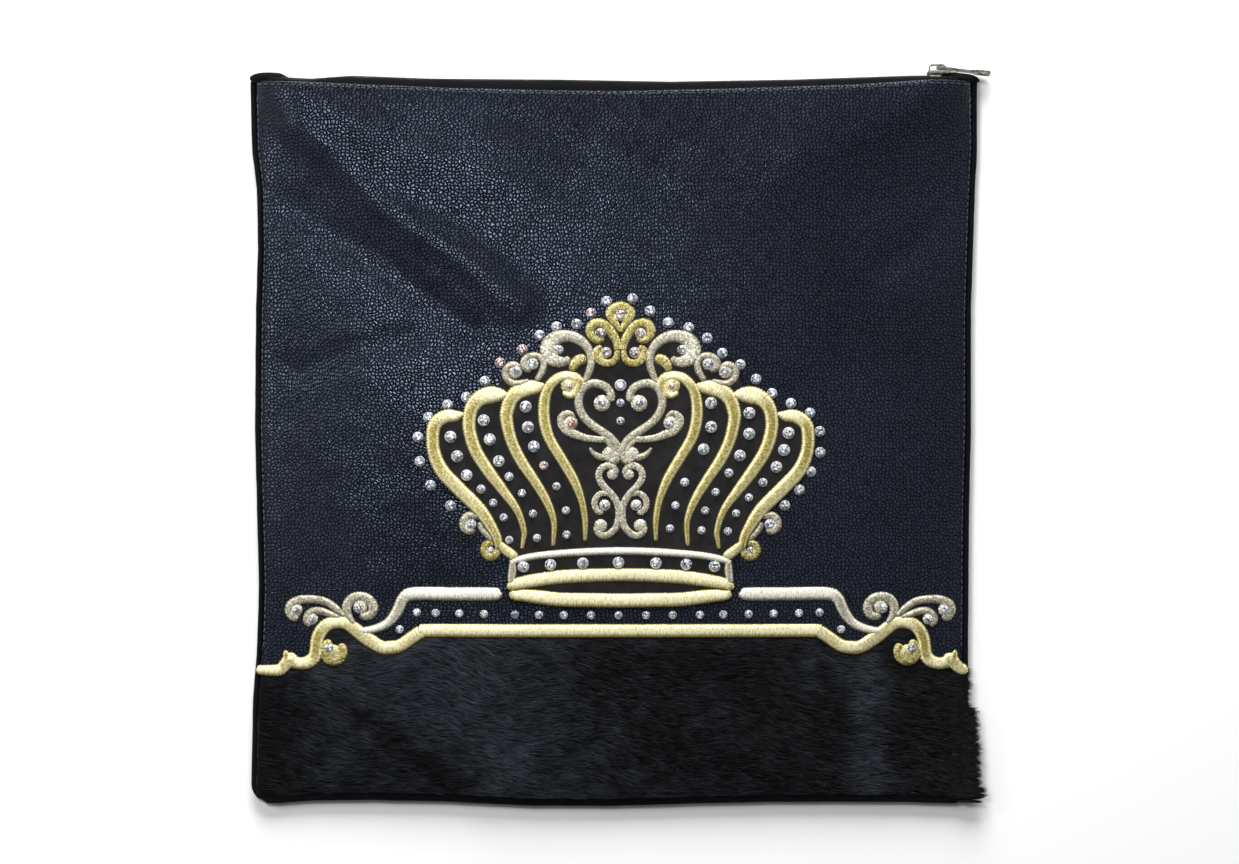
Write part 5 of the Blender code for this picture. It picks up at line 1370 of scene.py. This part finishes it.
def gem(x, y, z, radius, turn, generator, colour):
    """A round cut stone: table, star, kite and girdle facets, each with a painted reflection, and
    walls in painted shade.
    """
    n = STONE_SIDES
    step = 2 * math.pi / n
    height = STONE_RISE * radius
    points = [(x, y, z + height)]
    starts = []
    for reach, rise, shift, count in STONE_RINGS:
        starts.append(len(points))
        for i in range(count):
            angle = turn + (i * n / count + shift) * step
            points.append((x + radius * reach * math.cos(angle),
                           y + radius * reach * math.sin(angle), z + height * rise))
    table, star, girdle, foot = starts
    faces, shades = [], []
    for i in range(n):
        next_table = table + (i + 1) % n
        corner = girdle + 2 * i
        bright = generator.random() < BRIGHT_SHARE
        for facet, shade in (
                ((0, table + i, next_table), TABLE_BRIGHT if bright else TABLE_DARK),
                ((table + i, star + i, next_table), STAR_SHADE),
                ((table + i, star + (i - 1) % n, corner, star + i), KITE_SHADE),
                ((star + i, corner, corner + 1), OUTER_SHADE),
                ((star + i, corner + 1, girdle + (2 * i + 2) % (2 * n)), OUTER_SHADE)):
            faces.append(facet)
            shades.append(generator.uniform(*shade))
    for i in range(2 * n):
        j = (i + 1) % (2 * n)
        faces.append((girdle + i, foot + i, foot + j, girdle + j))
        shades.append(WALL_SHADE)
    return points, faces, [tuple(c * s for c in colour) for s in shades]


def stone_places():
    """Place, radius and carrier of every stone, from the crown's axis and base."""
    places = [(x, y, LARGE_STONE, ON_LEATHER_STONE)
              for x, y in [*evenly(HALO, HALO_COUNT), *HALO_LEFT]]
    for column in STONE_COLUMNS:
        places += [(x, y, radius, ON_GROUND_STONE)
                   for (x, y), radius in zip(column, COLUMN_RADII)]
    places += [(0.0, y, radius, ON_GROUND_STONE) for y, radius in AXIS_STONES]
    places += [(x, BAND_STONE_Y - BAND_STONE_DROP * x * x, BAND_STONE, ON_GROUND_STONE)
               for x in BAND_STONES]
    places += [(x, BORDER_STONE_Y + BORDER_STONE_CLIMB * x * x, SMALL_STONE, ON_LEATHER_STONE)
               for x in BORDER_STONES]
    for _, mirror in SIDES:
        places += [(mirror * x, y, radius, base) for x, y, radius, base in SCROLL_STONES]
    return places


def cut_stones():
    """Every stone, each turned its own way; a few throw colour."""
    generator = np.random.default_rng(STONE_SEED)
    shapes, colours = [], []
    for x, y, radius, base in stone_places():
        world_x, world_y = CROWN_AXIS_X + x, CROWN_BASE_Y + y
        colour = STONE_COLOUR
        for tint_x, tint_y, tint in STONE_TINTS:
            if math.hypot(x - tint_x, y - tint_y) < TINT_REACH:
                colour = tint
        z = float(relief(world_x, world_y)) + base
        turn = generator.uniform(0, math.pi)
        points, faces, shades = gem(world_x, world_y, z, radius, turn, generator, colour)
        shapes.append((points, faces))
        colours += shades
    obj = build("cut_stones", *joined(shapes), CUT_GLASS, smooth_shading=False)
    tint = obj.data.attributes.new("tint", "FLOAT_COLOR", "FACE")
    rgba = np.column_stack([np.array(colours), np.ones(len(colours))])
    tint.data.foreach_set("color", rgba.astype(np.float32).ravel())


# Zip

def tape_points(x, up):
    """Section of one tape from the chain to under its panel: y, z."""
    chain_y = float(zip_ridge(x)) - CHAIN_UNDER_RIDGE
    edge_y = float(leather_top(x)) - TAPE_FROM_EDGE
    if up > 0:
        outer = float(front_height(x, leather_top(x))) - 2 * TURNED_EDGE
        straight = TAPE_STRAIGHT_FRONT
    else:
        outer = float(back_height(x, edge_y)) + BACK_THICK
        straight = TAPE_STRAIGHT_BACK
    outer -= up * TAPE_THICK
    start = ZIP_HEIGHT + up * (0.5 * CHAIN_WIDTH + TAPE_FROM_CHAIN)
    bend = start + straight * (outer - start)
    reach = chain_y - edge_y
    corner = [(chain_y - reach * (1 - math.cos(a)), bend + (outer - bend) * math.sin(a))
              for a in np.radians(TAPE_TURN)]
    lip = chain_y + TAPE_LIP
    return [(lip, ZIP_HEIGHT + up * TAPE_LIP_GAP), (lip, start), *corner,
            (edge_y - TAPE_LEVEL, outer), (edge_y - TAPE_UNDER_LEATHER, outer)]


def zip_tape(face, up):
    """One woven tape, with the slight waves of sewn cloth."""
    sections = []
    for x in np.linspace(TAPE_LEFT - TAPE_RUN_ON, TAPE_RIGHT, TAPE_STEPS):
        wave = TAPE_WAVE * float(waves(x, 0.0, TAPE_SEED + up, TAPE_WAVE_LENGTH))
        sections.append([(x, y + wave, z) for y, z in tape_points(x, up)])
    points = np.array(sections)
    faces = quads(*points.shape[:2], flip=up > 0)
    obj = build(f"woven_tape_{face}", points.reshape(-1, 3), faces, TAPE)
    wall = obj.modifiers.new("wall", "SOLIDIFY")
    wall.thickness = TAPE_THICK * MM
    wall.offset = 1.0
    stands_for(obj, "zip_tape", f"zip_tape_{face}")


def tape_end(name, rows):
    """The folded end of the tapes at one corner: a soft black lump."""
    rows, _ = smooth(rows)
    path = np.array([(x, top - high, z) for x, top, high, z, _ in rows])
    points, faces = tube(path, rows[:, 2], rows[:, 4], END_SIDES)
    points[:, 2] += mixed_waves(points[:, 0], points[:, 1], END_WAVES)
    first = list(range(END_SIDES))
    last = [i + (len(rows) - 1) * END_SIDES for i in first]
    obj = build(name, points, faces + [first[::-1], last], TAPE)
    stands_for(obj, "zip_tape")


def zip_coil():
    """The closed coil: two rows of bent turns that mesh on the centre line."""
    shapes = []
    end = SLIDER_CENTRE[0] - 0.5 * SLIDER_LENGTH + 1.0
    for x in np.arange(CHAIN_LEFT, end, COIL_PITCH):
        y = float(zip_ridge(x)) - CHAIN_UNDER_RIDGE
        for up in (-1, 1):
            start = x + (0.5 * COIL_PITCH if up > 0 else 0.0)
            path = np.array([(start + on, y + out, ZIP_HEIGHT + up * rise)
                             for on, out, rise in COIL_TURN])
            shapes.append(rod(path, COIL_RADIUS, COIL_SIDES))
    obj = build("zip_coil", *joined(shapes), NYLON)
    stands_for(obj, "nylon", "zip_chain")


def stitch(centre, along, lift):
    """One stitch of the topstitching: a low capsule."""
    along = np.asarray(along, float) / np.linalg.norm(along)
    aside = np.array([-along[1], along[0]])
    points = []
    for share, size in STITCH_STATIONS:
        middle = np.asarray(centre) + along * share * STITCH_LENGTH
        sink = -0.3 if size < 0.5 else 0.0
        for place, rise in ((-1, -0.1), (0, lift * size), (1, -0.1)):
            x, y = middle + place * (aside * size * STITCH_HALF)
            points.append((x, y, float(relief(x, y)) + sink + rise))
    return points, quads(len(STITCH_STATIONS), 3, flip=True)


def topstitching():
    """Rows of stitches below the zip and inside both sides."""
    shapes = []
    for x in np.arange(*STITCHES_ALONG_TOP):
        y = float(leather_top(x)) - STITCH_BELOW_EDGE
        ahead = float(leather_top(x + 1)) - float(leather_top(x - 1))
        shapes.append(stitch((x, y), (2.0, ahead), TOP_STITCH_LIFT))
    for edge, sign in ((left_side, 1), (right_side, -1)):
        for y in np.arange(*STITCHES_ALONG_SIDE):
            x = float(edge(y)) + sign * (PANEL_INSET + STITCH_INSIDE_EDGE)
            ahead = float(edge(y + 1)) - float(edge(y - 1))
            shapes.append(stitch((x, y), (ahead, 2.0), SIDE_STITCH_LIFT))
    obj = build("topstitching", *joined(shapes), SEWING)
    stands_for(obj, "leather")


# Room

def floor_and_lights():
    """A white floor, three soft lights and an even glow from the room."""
    mesh = bpy.data.meshes.new("floor")
    corners = [(FLOOR * x, FLOOR * y, 0) for x, y in ((-1, -1), (1, -1), (1, 1), (-1, 1))]
    mesh.from_pydata(corners, [], [(0, 1, 2, 3)])
    white = Look("white_floor", (0.92, 0.92, 0.92), 0.95, Specular_IOR_Level=0.1)
    mesh.materials.append(white.material)
    floor = add_object("floor", mesh)
    floor.location.z = -FLOOR_DROP
    for name, place, size, energy in LIGHTS:
        data = bpy.data.lights.new(name, "AREA")
        data.shape = "RECTANGLE"
        data.size, data.size_y = size
        data.energy = energy
        lamp = add_object(name, data)
        lamp.location = place
        lamp.rotation_euler = (-Vector(place)).to_track_quat("-Z", "Y").to_euler()
    world = bpy.data.worlds.new("room")
    world.use_nodes = True
    glow = world.node_tree.nodes["Background"].inputs
    glow["Color"].default_value = (1.0, 1.0, 1.0, 1.0)
    glow["Strength"].default_value = ROOM_LIGHT
    bpy.context.scene.world = world
    bpy.context.scene.view_settings.view_transform = "Standard"


def camera():
    """Straight above, with half a millimetre to a pixel of the photograph at the bag."""
    data = bpy.data.cameras.new("camera")
    data.sensor_width = CAMERA_SENSOR
    wide = PHOTO_WIDTH_PX * MM_PER_PX * MM
    data.lens = data.sensor_width * (CAMERA_HEIGHT - SHARP_HEIGHT) / wide
    data.clip_end = CAMERA_REACH
    obj = add_object("camera", data)
    obj.location = (*[value * MM for value in CAMERA_OVER], CAMERA_HEIGHT)
    bpy.context.scene.camera = obj


FRONT_LEATHER, BACK_LEATHER, EDGE_LEATHER = [leather(*row) for row in LEATHERS]
SUEDE = suede()
HIDE = hide()
HAIR = hair()
TAPE = woven_tape()
NYLON = coil_nylon()
NICKEL = antique_nickel()
CUT_GLASS = cut_glass()
SEWING = sewing_thread()
THREADS = {(f"{metal}_thread", dotted): thread(f"{metal}_{kind}", *colours, dotted)
           for metal, colours in METALS.items()
           for kind, dotted in (("satin", False), ("filled", True))}

leather_front()
leather_back()
bound_edge()
fur_hide()
for lot, (hair_count, lot_from) in enumerate(HAIR_LOTS, 1):
    fur_hair(lot, hair_count, lot_from)
ground()
crown_embroidery()
border_embroidery()
small_embroidery()
cut_stones()
zip_tape("front", 1)
zip_tape("back", -1)
tape_end("tape_end_left", LEFT_TAPE_END)
tape_end("tape_end_right", RIGHT_TAPE_END)
zip_coil()
topstitching()
for node in ("zip_slider", "zip_pull"):
    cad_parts[node].data.materials.clear()
    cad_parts[node].data.materials.append(NICKEL)
floor_and_lights()
camera()
